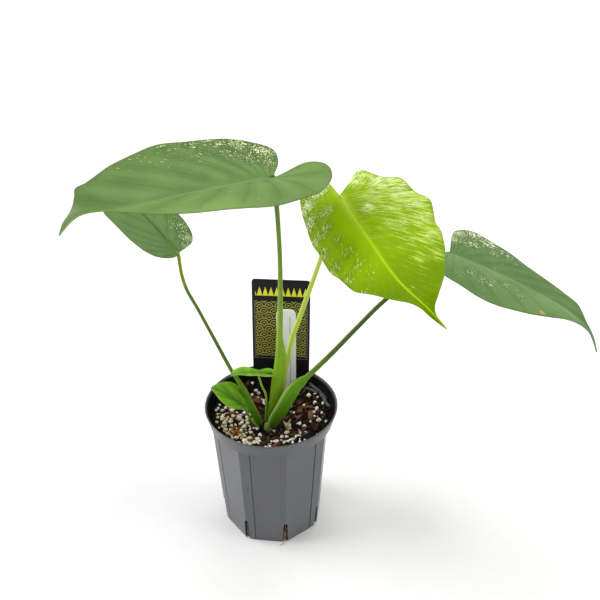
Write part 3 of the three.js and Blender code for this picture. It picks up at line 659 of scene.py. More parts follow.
# %% Flat outlines and how each blade hangs
# Each outline is pairs of how far along the midrib and how far out. Turns are in degrees, and a
# pair of numbers is for the left half and the right half.
BLADES = dict(
    leaf_1=dict(
        base=(6.1, -15, 352.4), yaw=216.5, pitch=4.5, roll=6, length=168, arch=4, droop=48,
        droop_start=0.78, sway=-43, fold=(13, 20), curl=(28, 6), lobe_rise=(12, 2),
        wave=(0.6, 3, 0.4, 1.2),
        left=[(0, 0), (-6, 2.5), (-13, 1), (-20, 1.5), (-25, 7), (-27, 17), (-27, 28), (-25, 36),
              (-21, 43.5), (-16, 48), (-8, 52), (2, 55.5), (16, 58), (34, 58), (50, 56), (67, 52),
              (83, 47), (99, 41), (110, 36.5), (118, 31), (125, 23), (131, 16), (137, 9), (144, 5),
              (154, 5), (162, 4), (168, 0)],
        right=[(0, 0), (-6, 6), (-13, 13), (-18, 20), (-22, 28.5), (-23, 36), (-20.5, 43),
               (-15, 50), (-8, 56.5), (2, 62), (13, 65.5), (26, 68.5), (42, 70), (58, 69.5),
               (73, 66), (89, 60), (104, 52), (118, 41.5), (128, 34), (136, 29), (140, 20),
               (145, 11), (151, 5.5), (159, 3.5), (168, 0)],
    ),
    leaf_2=dict(
        base=(-80.4, 50, 255.4), yaw=133, pitch=25, roll=4, length=108, arch=14, droop=35,
        droop_start=0.78, sway=0, fold=(8, 6), curl=(10, 20), lobe_rise=(0, 0),
        wave=(0.6, 2.5, 0, 2),
        left=[(0, 0), (-1, 2), (-2.5, 6), (-2, 12.5), (0.5, 18), (4, 23), (9, 26.5), (15, 29),
              (26, 31), (36, 32), (46, 32.8), (56, 33.4), (65, 33.2), (74, 31), (83, 26), (91, 18.5),
              (98, 10), (103, 4), (108, 0)],
        right=[(0, 0), (1.5, 2.5), (3.5, 6), (5, 12), (6, 17.5), (10.5, 23), (17, 27.5), (24, 30.3),
               (33, 32), (40, 32.5), (48, 32.8), (58, 32), (70, 28.5), (82, 21), (91, 12), (98, 5),
               (108, 0)],
    ),
    leaf_3=dict(
        base=(56.3, -10, 336), yaw=-70.5, pitch=-11, roll=12, length=150, arch=3, droop=30,
        droop_start=0.76, sway=25, fold=(6, -6), curl=(6, 50), lobe_rise=(0, 0),
        wave=(1.2, 4, 0.5, 1.5),
        left=[(0, 0), (-4, 5), (-9, 10), (-18, 19), (-18, 25), (-12, 30), (-2, 38), (8, 46),
              (22, 50), (34, 53), (44, 53.5), (55, 50.5), (65, 47), (74, 46), (85, 43), (92, 40),
              (100, 35), (109, 29.5), (118, 21), (126, 12), (132, 5), (138, 1.5), (144, 0.7),
              (150, 0)],
        right=[(0, 0), (-8, 1), (-16, 2), (-25, 4), (-31, 10), (-31, 20), (-25, 28), (-14, 32.5),
               (0, 36), (12, 38), (26, 39), (40, 39), (53, 37.5), (66, 35), (80, 31), (92, 25.5),
               (104, 18), (114, 11), (122, 6.5), (130, 4), (138, 3), (150, 0)],
    ),
    leaf_4=dict(
        base=(145.7, 0, 282.6), yaw=-21.5, pitch=-13, roll=-10, length=142, arch=13, droop=25,
        droop_start=0.78, sway=-50, fold=(8, 9), curl=(2, 30), lobe_rise=(0, 0),
        wave=(0.6, 3, 0.8, 0.2),
        left=[(0, 0), (-1.5, 11), (-3.5, 23), (-4.5, 35), (-4, 42), (-1, 48), (5, 53), (12, 55.5),
              (24, 53.5), (36, 49), (48, 42.5), (59, 36), (72, 31.5), (84, 27.5), (96, 23.5),
              (104, 22.5), (109, 21.5), (113, 17), (117, 10.5), (121, 6), (127, 4), (135, 3),
              (142, 0)],
        right=[(0, 0), (-6, 8), (-11, 20), (-11, 33), (-4, 43), (8, 48.5), (20, 51), (34, 53.5),
               (46, 54.5), (56, 53), (67, 48.5), (78, 42.5), (89, 35), (99, 26), (107, 19),
               (113, 15), (119, 12), (126, 9.5), (134, 6), (142, 0)],
    ),
    small_leaf_a=dict(
        base=(-21, -18.4, 138.8), yaw=190, pitch=47.9, roll=-14, length=39.5, arch=12, droop=20,
        droop_start=0.78, sway=0, fold=(10, 10), curl=(16, 12), lobe_rise=(0, 0),
        wave=(0.2, 2, 0, 1),
        left=[(0, 0), (1.5, 3), (4, 5), (9, 8), (15, 11), (20.5, 12.4), (26, 11.6), (31.5, 9),
              (36.5, 4), (39.5, 0)],
        right=[(0, 0), (1.5, 3.5), (4, 7.5), (7.5, 13), (13, 16.5), (20, 16.3), (27, 12.6),
               (33, 7.5), (37, 3.4), (39.5, 0)],
    ),
    small_leaf_b=dict(
        base=(-10.3, -12, 172.2), yaw=183, pitch=5.3, roll=12, length=24, arch=16, droop=15,
        droop_start=0.7, sway=0, fold=(10, 18), curl=(14, 10), lobe_rise=(0, 0),
        wave=(0.2, 2, 0, 1),
        left=[(0, 0), (-5, 0.8), (-10, 1), (-14, 2.4), (-12.5, 5.5), (-7, 7.5), (-1, 6.8), (5, 7.5),
              (10, 6), (16, 4), (20, 2.5), (24, 0)],
        right=[(0, 0), (-4, 0.8), (-9, 1), (-14, 2.6), (-12.5, 6.8), (-7, 7.4), (-1.5, 3.8), (4, 5.6),
               (9, 8.6), (14, 9.2), (19, 7.6), (22, 4.5), (24, 0)],
    ),
)
print(len(BLADES), "blades to bend")

# %% [markdown]
# A blade is bent by sums on its vertices. The midrib is a chain of short steps that each turn a
# little, so it arches and then droops. Any other place lies out from the midrib along an arc,
# whose fold and curl differ on the two halves, with a slow ripple added towards the margin.

# %% The bend of a blade
RIB_BEFORE, RIB_AFTER = 62, 100


def rib_line(leaf):
    u = np.arange(-RIB_BEFORE, RIB_AFTER + 1) / RIB_AFTER
    droop = leaf["droop"] * smoothstep(leaf["droop_start"], 0.97, u)
    bend = np.radians(leaf["arch"] * np.maximum(u, -0.25) + droop)
    turn = np.radians(leaf["sway"] * smoothstep(0.5, 1, u))
    step = leaf["length"] / RIB_AFTER
    moves = step * np.stack([np.cos(bend) * np.cos(turn), np.cos(bend) * np.sin(turn), -np.sin(bend)], 1)
    at = np.vstack([[0, 0, 0], np.cumsum(moves, axis=0)[:-1]])
    return at - at[RIB_BEFORE], bend


def blade_axes(leaf):
    yaw, pitch, roll = (math.radians(leaf[k]) for k in ("yaw", "pitch", "roll"))
    level_reach = math.cos(pitch)
    along = np.array([level_reach * math.cos(yaw), level_reach * math.sin(yaw), math.sin(pitch)])
    level = np.array([-math.sin(yaw), math.cos(yaw), 0])
    left = math.cos(roll) * level + math.sin(roll) * np.cross(along, level)
    return np.array([along, left, np.cross(along, left)])


def blade_place(leaf, along, out, side, lift):
    """Where a flat place on the blade ends up; side is 1 on the left and -1 on the right."""
    half = np.where(side > 0, 0, 1)
    widest = np.array([max(y for _, y in leaf[edge]) for edge in ("left", "right")])[half]
    rate = np.radians(np.array(leaf["curl"], float)[half]) / widest
    start = np.radians(np.array(leaf["fold"], float)[half])
    across = (np.sin(start) - np.sin(start - rate * out)) / rate
    rise = (np.cos(start - rate * out) - np.cos(start)) / rate
    behind = np.clip(-along / (0.2 * leaf["length"]), 0, 2)
    lobe = np.array(leaf["lobe_rise"], float)[half] * behind**1.5
    height, count, *phases = leaf["wave"]
    ripple = np.sin(2 * np.pi * count * along / leaf["length"] + np.array(phases)[half])
    up = rise + lobe + height * (out / widest) ** 2 * ripple + lift
    rib, bend = rib_line(leaf)
    last = RIB_BEFORE + RIB_AFTER
    station = np.clip(along / leaf["length"] * RIB_AFTER + RIB_BEFORE, 0, last)
    at = np.stack([np.interp(station, np.arange(last + 1), rib[:, k]) for k in range(3)], axis=-1)
    tilt = np.interp(station, np.arange(last + 1), bend)
    own = at + np.stack([up * np.sin(tilt), side * across, up * np.cos(tilt)], axis=-1)
    return own @ blade_axes(leaf) + np.array(leaf["base"], float)


# %% [markdown]
# On the upper face the midrib is a shallow pale groove, the tissue between the side veins swells
# a little and finer creases run beside them. Below, the midrib stands out as a round rib that
# thins towards the tip. The margin is thinner than the middle and slightly wavy.

# %% Relief of a blade
SHEET = dict(thickness=0.56, margin_thickness=0.3, groove=0.28, groove_half=0.8)


def vein_start(share, sweep):
    return 0.1 * share + 0.9 * np.maximum(0, (share - 0.24) / 0.76) ** sweep


def swell_between(share, reach, veins):
    """0 in a vein and 1 halfway to the next one, fading at the midrib and at the margin."""
    wave = np.abs(np.sin(np.pi * veins * share))
    fade = smoothstep(0.02, 0.2, reach) * (1 - 0.75 * smoothstep(0.75, 1, reach))
    return wave**0.7, fade * smoothstep(0, 0.08, share) * smoothstep(1, 0.9, share)


def bend_blade(name, rows, columns, veins, swell, crease=0.0, ruffle=(0.0, 8), rib=(1.7, 0.35), sweep=2.7):
    leaf = BLADES[name]
    piece = new_grid(name.replace("leaf", "blade"), rows, 2 * columns, slab=True)
    uvw = places_of(piece)
    share = uvw[:, 0] + 0.5
    row = np.rint(share * rows).astype(int)
    side = np.where(uvw[:, 1] >= 0, 1, -1)
    reach = (np.abs(uvw[:, 1]) * 2) ** 1.5
    upper = uvw[:, 2] > 0.5
    left, right = soft_line(leaf["left"], rows), soft_line(leaf["right"], rows)
    edge = np.where((side > 0)[:, None], left[row], right[row])
    start = leaf["length"] * vein_start(share, sweep)
    along = start + (edge[:, 0] - start) * reach**1.3
    out = np.maximum(edge[:, 1], 0) * reach**0.92
    onward = np.clip(along / leaf["length"], 0, 1)
    wave, fade = swell_between(share, reach, veins)
    relief = swell * wave * fade
    relief += crease * np.sin(2 * np.pi * veins * 3.3 * share + 2.2 * reach) * fade
    widest = max(y for _, y in leaf["left"] + leaf["right"])
    ruffle_height, ruffles = ruffle
    relief += ruffle_height * smoothstep(0.6, 1, reach) * np.sin(2 * np.pi * ruffles * share + 0.9 * side)
    groove = np.exp(-((out / (SHEET["groove_half"] * (1.3 - onward))) ** 2))
    full = SHEET["thickness"] + (SHEET["margin_thickness"] - SHEET["thickness"]) * smoothstep(0.8, 1, reach)
    rib_half = rib[0] + (rib[1] - rib[0]) * onward**0.8
    stands = np.sqrt(np.maximum(0, 1 - (out / (1.25 * rib_half)) ** 2))
    top = relief + full / 2 - SHEET["groove"] * groove * (1 - 0.6 * onward)
    bottom = relief - full / 2 - (rib_half * 1.5) * stands
    bottom -= 0.22 * swell * np.exp(-((wave / 0.25) ** 2)) * fade
    places = blade_place(leaf, along, out, side, np.where(upper, top, bottom))
    set_places(piece, places)
    mark(piece, "flat", np.stack([along, side * out, 0 * out], axis=1))
    margin_length = 1.25 * (leaf["length"] + widest)
    mark(piece, "vein", np.stack([share * margin_length, side * reach * widest, 40.0 * side], axis=1))
    # The finish paints shade into the furrows and light onto the crests.
    mark(piece, "furrow", np.exp(-((wave / 0.35) ** 2)) * fade)
    mark(piece, "crest", smoothstep(0.75, 1, wave) * fade)
    mark(piece, "midrib", np.exp(-((out / (1.5 * (1.25 - onward))) ** 2)))
    mark(piece, "rim", smoothstep(0.955, 1, reach))
    mark(piece, "upper", np.where(upper, 1.0, 0.0))
    mark(piece, "near_half", np.where(side > 0, 1.0, 0.0))
    mark(piece, "flecked", patch_strength(name, along, side * out))
    close_up(piece, smooth_below=60)
    return piece


# %% [markdown]
# The cream flecks are strongest in patches: on the lobe furthest from the light green half, and
# along a margin. Each patch is a place on the flat blade, a reach and a strength.

# %% Where the flecks lie
PATCHES = dict(
    leaf_1=[(-14, -36, 15, 1.0), (-2, -52, 14, 0.95), (14, -60, 14, 0.85), (34, -64, 13, 0.75),
            (56, -62, 13, 0.55), (78, -58, 12, 0.5), (100, -48, 11, 0.4), (118, -40, 9, 0.35),
            (-9, -18, 10, 0.8), (2, -30, 13, 0.75), (14, -42, 14, 0.65), (34, -48, 18, 0.45),
            (62, -46, 18, 0.38), (132, -34, 8, 0.3)],
    leaf_2=[(4, -12, 10, 0.85), (14, -19, 10, 0.95), (28, -24, 11, 0.85), (44, -27, 11, 0.6),
            (60, -25, 10, 0.4), (-2, 12, 9, 0.4), (12, 18, 14, 0.2), (70, 20, 8, 0.3)],
    leaf_3=[(-12, 18, 13, 0.95), (2, 34, 16, 1.0), (20, 42, 16, 0.9), (38, 44, 15, 0.82),
            (56, 42, 14, 0.75), (74, 38, 12, 0.7), (92, 34, 10, 0.55), (14, 22, 14, 0.75),
            (34, 26, 15, 0.7), (25, 12, 7, 1.0), (52, 26, 14, 0.65), (70, 26, 12, 0.55),
            (88, 22, 10, 0.4), (50, 10, 8, 0.45),
            (-18, -12, 12, 1.0), (-12, -26, 11, 1.0), (4, -32, 11, 0.9), (22, -35, 10, 0.8),
            (40, -36, 9, 0.75), (58, -33, 9, 0.75), (76, -29, 9, 0.65), (94, -23, 8, 0.5),
            (8, -16, 11, 0.75), (40, -20, 8, 0.6), (56, -18, 8, 0.6), (72, -16, 8, 0.6),
            (22, -24, 10, 0.75), (84, -12, 7, 0.45)],
    leaf_4=[(-3, 26, 10, 0.8), (0, 42, 11, 0.85), (12, 50, 11, 0.85), (26, 46, 12, 0.85),
            (42, 40, 10, 0.7), (14, 30, 11, 0.7), (32, 30, 11, 0.5), (52, 32, 10, 0.4),
            (2, -16, 9, 0.35), (24, -26, 11, 0.6), (34, -34, 9, 0.6), (48, -24, 9, 0.5),
            (62, -28, 8, 0.45), (14, -38, 9, 0.35)],
)
FAINT_FLECKS = 0.05


def patch_strength(name, along, across):
    strength = np.full(len(along), FAINT_FLECKS)
    for x, y, reach, most in PATCHES.get(name, []):
        distance = ((along - x) ** 2 + (across - y) ** 2) / reach**2
        strength = np.maximum(strength, most * np.exp(-0.8 * distance))
    return strength


# %% [markdown]
# One function bends all six blades. A large blade gets more rows and columns, and the lime one
# has many close veins and a frilled margin. Each starts as a slab, so it has both faces.

# %% The blades
BLADE_LOOKS = dict(
    leaf_1=dict(rows=170, columns=34, veins=9, swell=0.34, crease=0.05),
    leaf_2=dict(rows=120, columns=26, veins=8, swell=0.4, crease=0.04, rib=(1.3, 0.3)),
    leaf_3=dict(rows=230, columns=38, veins=36, swell=0.07, ruffle=(0.9, 7), sweep=2.4),
    leaf_4=dict(rows=150, columns=32, veins=10, swell=0.24, crease=0.05),
    small_leaf_a=dict(rows=60, columns=14, veins=5, swell=0.12, rib=(0.7, 0.2)),
    small_leaf_b=dict(rows=50, columns=12, veins=5, swell=0.1, rib=(0.6, 0.2)),
)
blades = {name: bend_blade(name, **look) for name, look in BLADE_LOOKS.items()}
for name, blade in blades.items():
    print(name, len(blade.data.polygons), "faces")

# %% [markdown]
# Every leaf shares one recipe, and a leaf names only what differs. A slow drift mixes two greens.
# Over them come a near half tinted lighter on some leaves and darker on others, painted light and
# shade for how that half faces the light; a pale strip by the margin, a painted sheen; a deeper tip,
# painted shade; and a patch beside the rib. Furrows are deepened as painted shade and the crests
# between them are paler as painted light.

# %% The greens of a leaf
DEEPER = 0.62
LEAF_RECIPE = dict(
    under=(0.17, 0.28, 0.07), rim=(0.10, 0.085, 0.035), rib_green=None, near_tint=None,
    near_margin=None, tip_tint=None, core=None, spot=None, furrows=0.4, crests=0.28,
    fleck=(2.0, 4.6), other=None, cut=0.70, most=0.19, crisp=0.02, short_share=0.4,
    veins_kept=0.0, faint=None, veil=0.0, sheen=0.38, gloss=0.22,
)


def leaf_greens(leaf, look, marks):
    drift = leaf.between(leaf.grain(marks.flat, 0.035, 3), 0.3, 0.7)
    colour = leaf.mixed(drift, *look.greens)
    colour = leaf.mixed(leaf.between(marks.cells, 0.35, 0.7) * 0.12, colour, look.vein_green)
    # Painted light and shade: the near half is tinted for how it faces the light.
    if look.near_tint:
        colour = leaf.mixed(marks.near * 0.5, colour, look.near_tint)
    # Painted sheen: a pale strip along the near half's margin.
    if look.near_margin:
        sheen_strip = leaf.between(marks.out, 26, 50) * leaf.between(marks.along, 30, 85)
        colour = leaf.mixed(sheen_strip * 0.6, colour, look.near_margin)
    # Painted shade: the tip and the margin before it are deepened.
    if look.tip_tint:
        tip_shade_green, begins, ends = look.tip_tint
        colour = leaf.mixed(leaf.between(marks.along, begins, ends) * 0.9, colour, tip_shade_green)
    if look.core:
        core_green, half, reach = look.core
        off_rib = leaf.sum("ABSOLUTE", marks.out, 0) * (1 / half)
        blotch = 1 - leaf.between(off_rib + 0.7 * (leaf.grain(marks.flat, 0.25, 2) - 0.5), 0.33, 1)
        blotch = blotch * (1 - leaf.between(marks.along, 0.4 * reach, reach))
        colour = leaf.mixed(blotch * 0.75, colour, core_green)
    # Painted shade in the furrows and painted light on the crests between them.
    colour = leaf.mixed(marks.furrow * look.furrows, colour, look.deep)
    colour = leaf.mixed(leaf.marked("crest") * look.crests, colour, look.vein_green)
    return leaf.mixed(leaf.between(marks.flecked, 0.2, 0.75) * 0.65, colour, look.deep)


# %% [markdown]
# Flecks are noise stretched along the veins and cut off at a level that the patches lower, so
# they crowd together there: first a pale green halo, then cream in its middle. On the lime leaf a
# pale veil lies between green veins, and thin dark threads run where a noise is near its middle.

# %% The flecks of a leaf
def along_veins(leaf, marks, across, along, detail=2.0, roughness=0.5):
    """Noise whose grains are so many millimetres across the veins and along them."""
    return leaf.grain(leaf.stretched(marks.vein, (1 / across, 1 / along, 1)), 1, detail, roughness)


def leaf_flecks(leaf, look, marks, colour):
    """The colour with its flecks, and where their cream middles are."""
    wide, long = look.fleck
    streaks = along_veins(leaf, marks, wide, long)
    if look.other:
        far_streaks = along_veins(leaf, marks, *look.other)
        streaks = far_streaks + (streaks - far_streaks) * marks.near
    dots = along_veins(leaf, marks, wide / 1.5, wide / 1.1, 1)
    above = streaks + (dots - streaks) * look.short_share - (look.cut - look.most * marks.flecked)
    around = leaf.between(above, -0.03, 0.0)
    middle = leaf.between(above, 0.0, look.crisp) * (1 - look.veins_kept * marks.furrow)
    if look.veil:
        pressed = along_veins(leaf, marks, wide / 0.45, long / 0.6, 3) + 0.33 * marks.flecked
        thin = leaf.between(pressed, 0.60, 0.82) * marks.near
        colour = leaf.mixed(thin * look.veil * (1 - 0.8 * marks.furrow), colour, look.halo)
    colour = leaf.mixed(around * 0.4, colour, look.halo)
    pale = leaf.mixed(leaf.between(marks.flecked, 0.3, 1.0), look.faint or look.cream, look.cream)
    colour = leaf.mixed(middle * (1 - 0.35 * look.veil * marks.near), colour, pale)
    if look.veil:
        hairs = along_veins(leaf, marks, 2.6, 26, 2, 0.6)
        ridge = leaf.near_zero(hairs - 0.5, 0.02, 0.08)
        kept = leaf.between(leaf.grain(marks.vein, 0.12, 2), 0.36, 0.5) * (0.3 + 0.7 * marks.flecked)
        colour = leaf.mixed(ridge * kept * (0.3 + 0.55 * marks.near), colour, look.deep)
    return colour, middle


# %% [markdown]
# The midrib differs from the blade, the margin has a thin dark line, and the underside is a
# paler, duller green. A little light passes through. Fine veinlets are raised by bump.

# %% The leaves' finish
DRY_SPOT = (0.50, 0.33, 0.16)


def leaf_finish(name, **own):
    look = SimpleNamespace(**(LEAF_RECIPE | own))
    look.deep = [DEEPER * c for c in look.greens[0]]
    leaf = Finish(name)
    marks = SimpleNamespace(near=leaf.marked("near_half"), furrow=leaf.marked("furrow"),
                            flecked=leaf.marked("flecked"), vein=leaf.marked("vein", out="Vector"),
                            flat=leaf.marked("flat", out="Vector"))
    marks.along, marks.out = leaf.axis(marks.flat, "X"), leaf.axis(marks.flat, "Y")
    marks.cells = leaf.grain(marks.flat, 1.3, 2)
    if look.veil:
        patchy = leaf.between(leaf.grain(marks.flat, 0.06, 2), 0.38, 0.6)
        marks.furrow = marks.furrow * (0.1 + 0.9 * marks.near) * patchy
    colour, middle = leaf_flecks(leaf, look, marks, leaf_greens(leaf, look, marks))
    colour = leaf.mixed(leaf.marked("midrib") * 0.75, colour, look.rib_green or look.vein_green)
    if look.spot:
        spot_x, spot_y, reach = look.spot
        off_spot = ((marks.along - spot_x) ** 2 + (marks.out - spot_y) ** 2) ** 0.5
        tan = 1 - leaf.between(off_spot, 0.6 * reach, reach)
        colour = leaf.mixed(tan * 0.85, colour, DRY_SPOT)
    upper = leaf.marked("upper")
    below = leaf.mixed(leaf.between(marks.cells, 0.3, 0.7), look.under, [0.85 * c for c in look.under])
    below = leaf.mixed(middle * 0.55, below, look.cream)
    colour = leaf.mixed(upper, below, colour)
    colour = leaf.mixed(leaf.marked("rim") * 0.5, colour, look.rim)
    dull = leaf.grain(marks.flat, 0.09, 3)
    leaf.set(Base_Color=colour, Roughness=look.sheen + 0.14 * dull + 0.16 * (1 - upper))
    leaf.set(Specular_IOR_Level=look.gloss)
    leaf.set(Subsurface_Weight=0.1, Subsurface_Radius=(0.5, 1.0, 0.2), Subsurface_Scale=0.001)
    veinlets = leaf.grain(leaf.stretched(marks.vein, (0.9, 0.25, 1)), 1, 3)
    leaf.raise_by(veinlets * 0.6 + marks.cells * 0.4, 0.00022, 0.6)
    return leaf


green_finish = leaf_finish(
    "mottled_green_leaf", greens=((0.068, 0.152, 0.022), (0.098, 0.193, 0.031)),
    vein_green=(0.175, 0.285, 0.085), halo=(0.24, 0.36, 0.07), cream=(0.74, 0.76, 0.40),
    near_tint=(0.135, 0.235, 0.052), near_margin=(0.22, 0.36, 0.08),
)
shaded_finish = leaf_finish(
    "shaded_green_leaf", greens=((0.056, 0.146, 0.020), (0.090, 0.195, 0.036)),
    vein_green=(0.12, 0.20, 0.06), halo=(0.20, 0.32, 0.08), cream=(0.76, 0.78, 0.46),
    near_tint=(0.100, 0.20, 0.050), fleck=(1.9, 2.2), rib_green=(0.025, 0.07, 0.010),
)
dark_finish = leaf_finish(
    "deep_green_leaf", greens=((0.106, 0.215, 0.058), (0.155, 0.28, 0.080)),
    vein_green=(0.15, 0.25, 0.09), halo=(0.22, 0.34, 0.11), cream=(0.78, 0.78, 0.50),
    near_tint=(0.058, 0.128, 0.028), fleck=(1.6, 4.6), spot=(81, -36.5, 2.6), most=0.24,
    tip_tint=((0.065, 0.13, 0.02), 104, 126),
)
lime_finish = leaf_finish(
    "lime_leaf", greens=((0.245, 0.44, 0.0005), (0.305, 0.52, 0.001)),
    vein_green=(0.45, 0.64, 0.01), halo=(0.50, 0.62, 0.10), cream=(0.84, 0.87, 0.56),
    faint=(0.56, 0.70, 0.12), veil=0.8, fleck=(1.0, 9), other=(1.4, 4.2), veins_kept=0.75,
    short_share=0.25, under=(0.34, 0.48, 0.06), rim=(0.15, 0.24, 0.02), near_tint=(0.21, 0.33, 0.0),
    sheen=0.36, most=0.26, crisp=0.05, gloss=0.03, furrows=0.5, crests=0.04,
    tip_tint=((0.115, 0.21, 0.0), 62, 116), core=((0.40, 0.54, 0.04), 6, 55),
)
young_finish = leaf_finish(
    "young_leaf", greens=((0.13, 0.36, 0.006), (0.19, 0.43, 0.018)),
    vein_green=(0.30, 0.50, 0.06), halo=(0.34, 0.50, 0.12), cream=(0.78, 0.80, 0.5),
    under=(0.26, 0.42, 0.10), rim=(0.34, 0.48, 0.10), sheen=0.24, gloss=0.12,
    rib_green=(0.05, 0.15, 0.010), core=((0.075, 0.23, 0.006), 7.5, 60),
)
BLADE_FINISHES = dict(
    leaf_1=(green_finish, "leaf_green"), leaf_2=(shaded_finish, "leaf_green"),
    leaf_3=(lime_finish, "leaf_lime"), leaf_4=(dark_finish, "leaf_green"),
    small_leaf_a=(young_finish, "leaf_green"), small_leaf_b=(young_finish, "leaf_green"),
)
for name, (leaf_look, slot) in BLADE_FINISHES.items():
    dress(blades[name], leaf_look, slot)
    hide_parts(name)

# %% [markdown]
# A stalk doesn't stop below its blade: it bends over in a smooth elbow and runs on as the midrib.
# The elbow's stations come from the blade's own bend, a little under its face.

# %% The stalks
# How far past the base each station of the elbow lies, and its radius.
ELBOW = [(5, 2.0), (12, 1.6), (22, 1.1)]
USUAL_LENGTH = 150
STALK_LOOKS = dict(
    petiole_1=dict(opens=-1, sheath=(176, 196)),
    petiole_2=dict(opens=-1, sheath=(150, 163)),
    petiole_3=dict(opens=-1),
    petiole_4=dict(opens=1, sheath=(158, 171)),
    small_petiole_a=dict(opens=-1, along=50),
    small_petiole_b=dict(opens=-1, along=60),
)
BLADE_OF = {name: name.replace("petiole", "leaf") for name in STALKS}


def with_elbow(name):
    leaf = BLADES[BLADE_OF[name]]
    thin = leaf["length"] / USUAL_LENGTH
    elbow = []
    for along, size in ELBOW:
        size *= thin if thin < 0.5 else 0.5 + 0.5 * thin
        along *= min(1, thin * 1.4)
        at = blade_place(leaf, np.array([along]), np.zeros(1), np.ones(1), np.array([-0.9 * size]))[0]
        elbow.append((*at, size, size))
    return STALKS[name] + elbow


stalks = {}
for name, look in STALK_LOOKS.items():
    stalks[name] = roll_stalk(name.replace("petiole", "stalk"), with_elbow(name), **look)
    print(name, len(stalks[name].data.polygons), "faces")

# %% [markdown]
# The stalks change colour on the way up: yellow-green where the sheath stays wet and shaded,
# deeper green above, darker again near the blade. Fine lines run their whole length, pale
# flecks follow the lines, and the thin edges of a sheath dry to a yellowish brown.

# %% The stalks' finish
STALK_LINES = (0.46, 0.58, 0.10)
SHEATH_INSIDE = (0.45, 0.58, 0.14)
USUAL_EDGE = (0.40, 0.50, 0.12)


def stalk_finish(name, stops, edge_colour):
    stalk = Finish(name)
    run = stalk.marked("run", out="Vector")
    at = stalk.place()
    share = stalk.axis(run, "Z")
    colour = stalk.ramp(share + 0.06 * (stalk.grain(at, 120, 2) - 0.5), stops)
    lines = stalk.grain(stalk.stretched(run, (0.03, 46, 1)), 1, 3, 0.6)
    colour = stalk.mixed(stalk.between(lines, 0.45, 0.75) * 0.16, colour, STALK_LINES)
    flecks = stalk.between(stalk.grain(stalk.stretched(run, (0.5, 24, 1)), 1, 2), 0.66, 0.72)
    colour = stalk.mixed(flecks * 0.3, colour, STALK_LINES)
    colour = stalk.mixed(stalk.marked("inside") * 0.5, colour, SHEATH_INSIDE)
    colour = stalk.mixed(stalk.marked("edge") * 0.85, colour, edge_colour)
    stalk.set(Base_Color=colour, Roughness=0.30 + 0.22 * lines)
    stalk.set(Specular_IOR_Level=0.12)
    stalk.set(Subsurface_Weight=0.1, Subsurface_Radius=(0.5, 1.0, 0.2), Subsurface_Scale=0.0015)
    stalk.raise_by(lines, 0.0002, 0.6)
    return stalk


STALK_STOPS = dict(
    petiole_1=[(0, (0.09, 0.20, 0.006)), (0.1, (0.13, 0.28, 0.002)), (0.25, (0.19, 0.36, 0.004)),
               (0.4, (0.22, 0.36, 0.035)), (0.7, (0.15, 0.24, 0.035)), (1, (0.09, 0.145, 0.035))],
    petiole_4=[(0, (0.04, 0.12, 0.004)), (0.08, (0.07, 0.20, 0.002)), (0.2, (0.09, 0.25, 0.003)),
               (0.28, (0.10, 0.22, 0.008)), (0.4, (0.065, 0.12, 0.020)), (1, (0.06, 0.105, 0.022))],
    petiole_3=[(0, (0.28, 0.42, 0.03)), (0.3, (0.46, 0.60, 0.08)), (0.7, (0.50, 0.63, 0.10)),
               (1, (0.42, 0.58, 0.05))],
    petiole_2=[(0, (0.05, 0.15, 0.004)), (0.12, (0.08, 0.25, 0.003)), (0.25, (0.11, 0.28, 0.004)),
               (0.36, (0.08, 0.15, 0.018)), (0.7, (0.085, 0.15, 0.020)), (0.82, (0.20, 0.29, 0.010)),
               (1, (0.24, 0.33, 0.012))],
    small_petiole_a=[(0, (0.16, 0.28, 0.02)), (1, (0.20, 0.34, 0.04))],
    small_petiole_b=[(0, (0.20, 0.34, 0.02)), (0.5, (0.28, 0.42, 0.05)), (1, (0.34, 0.46, 0.10))],
)
EDGES = dict(petiole_2=(0.36, 0.27, 0.06), petiole_4=(0.42, 0.58, 0.16))
for name, stalk in stalks.items():
    look = stalk_finish(name + "_skin", STALK_STOPS[name], EDGES.get(name, USUAL_EDGE))
    dress(stalk, look, "stalk_lime" if name == "petiole_3" else "stalk_green")
    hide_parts(name)

# %% [markdown]
# The crown is a short stem with the rings of fallen leaves, and a pale pointed bud leans out of
# it towards the viewer. Both are grids rolled round a line, joined into one piece.

# %% The crown
CROWN = dict(x=-2.8, y=-14.8)


def make_crown():
    x, y = CROWN["x"], CROWN["y"]
    stem = [(x, y, 88, 3.0, 3.0), (x, y, 100, 3.6, 3.6), (x, y, 111, 3.7, 3.6),
            (x, y, 116, 3.5, 3.4), (x, y, 119.4, 2.4, 2.2)]
    bud = [(x + 0.2, y - 2.4, 112, 1.8, 1.4), (x + 0.1, y - 3.6, 115.5, 2.1, 1.7),
           (x - 0.6, y - 4.2, 119, 1.7, 1.3), (x - 1.2, y - 4.4, 122, 0.8, 0.6)]
    stem_piece = roll_stalk("crown", stem, groove=0.0, along=60)
    bud_piece = roll_stalk("bud", bud, opens=1, groove=0.1, along=40)
    pick(stem_piece, bud_piece)
    bpy.ops.object.join()
    return stem_piece


def crown_finish():
    skin = Finish("crown_skin", roughness=0.5)
    at = skin.place()
    height = skin.axis(at, "Z")
    mottle = skin.grain(at, 420, 4, 0.6)
    rings = skin.grain(skin.stretched(at, (60, 60, 900)), 1, 2)
    colour = skin.mixed(skin.between(height, 0.111, 0.117), (0.08, 0.11, 0.02), (0.26, 0.44, 0.08))
    colour = skin.mixed(skin.between(rings, 0.5, 0.64) * 0.25, colour, (0.09, 0.10, 0.02))
    colour = skin.mixed(skin.between(mottle, 0.5, 0.7) * 0.5, colour, (0.40, 0.50, 0.18))
    skin.set(Base_Color=colour)
    skin.raise_by(rings * 0.7 + mottle * 0.3, 0.0005, 0.7)
    return skin


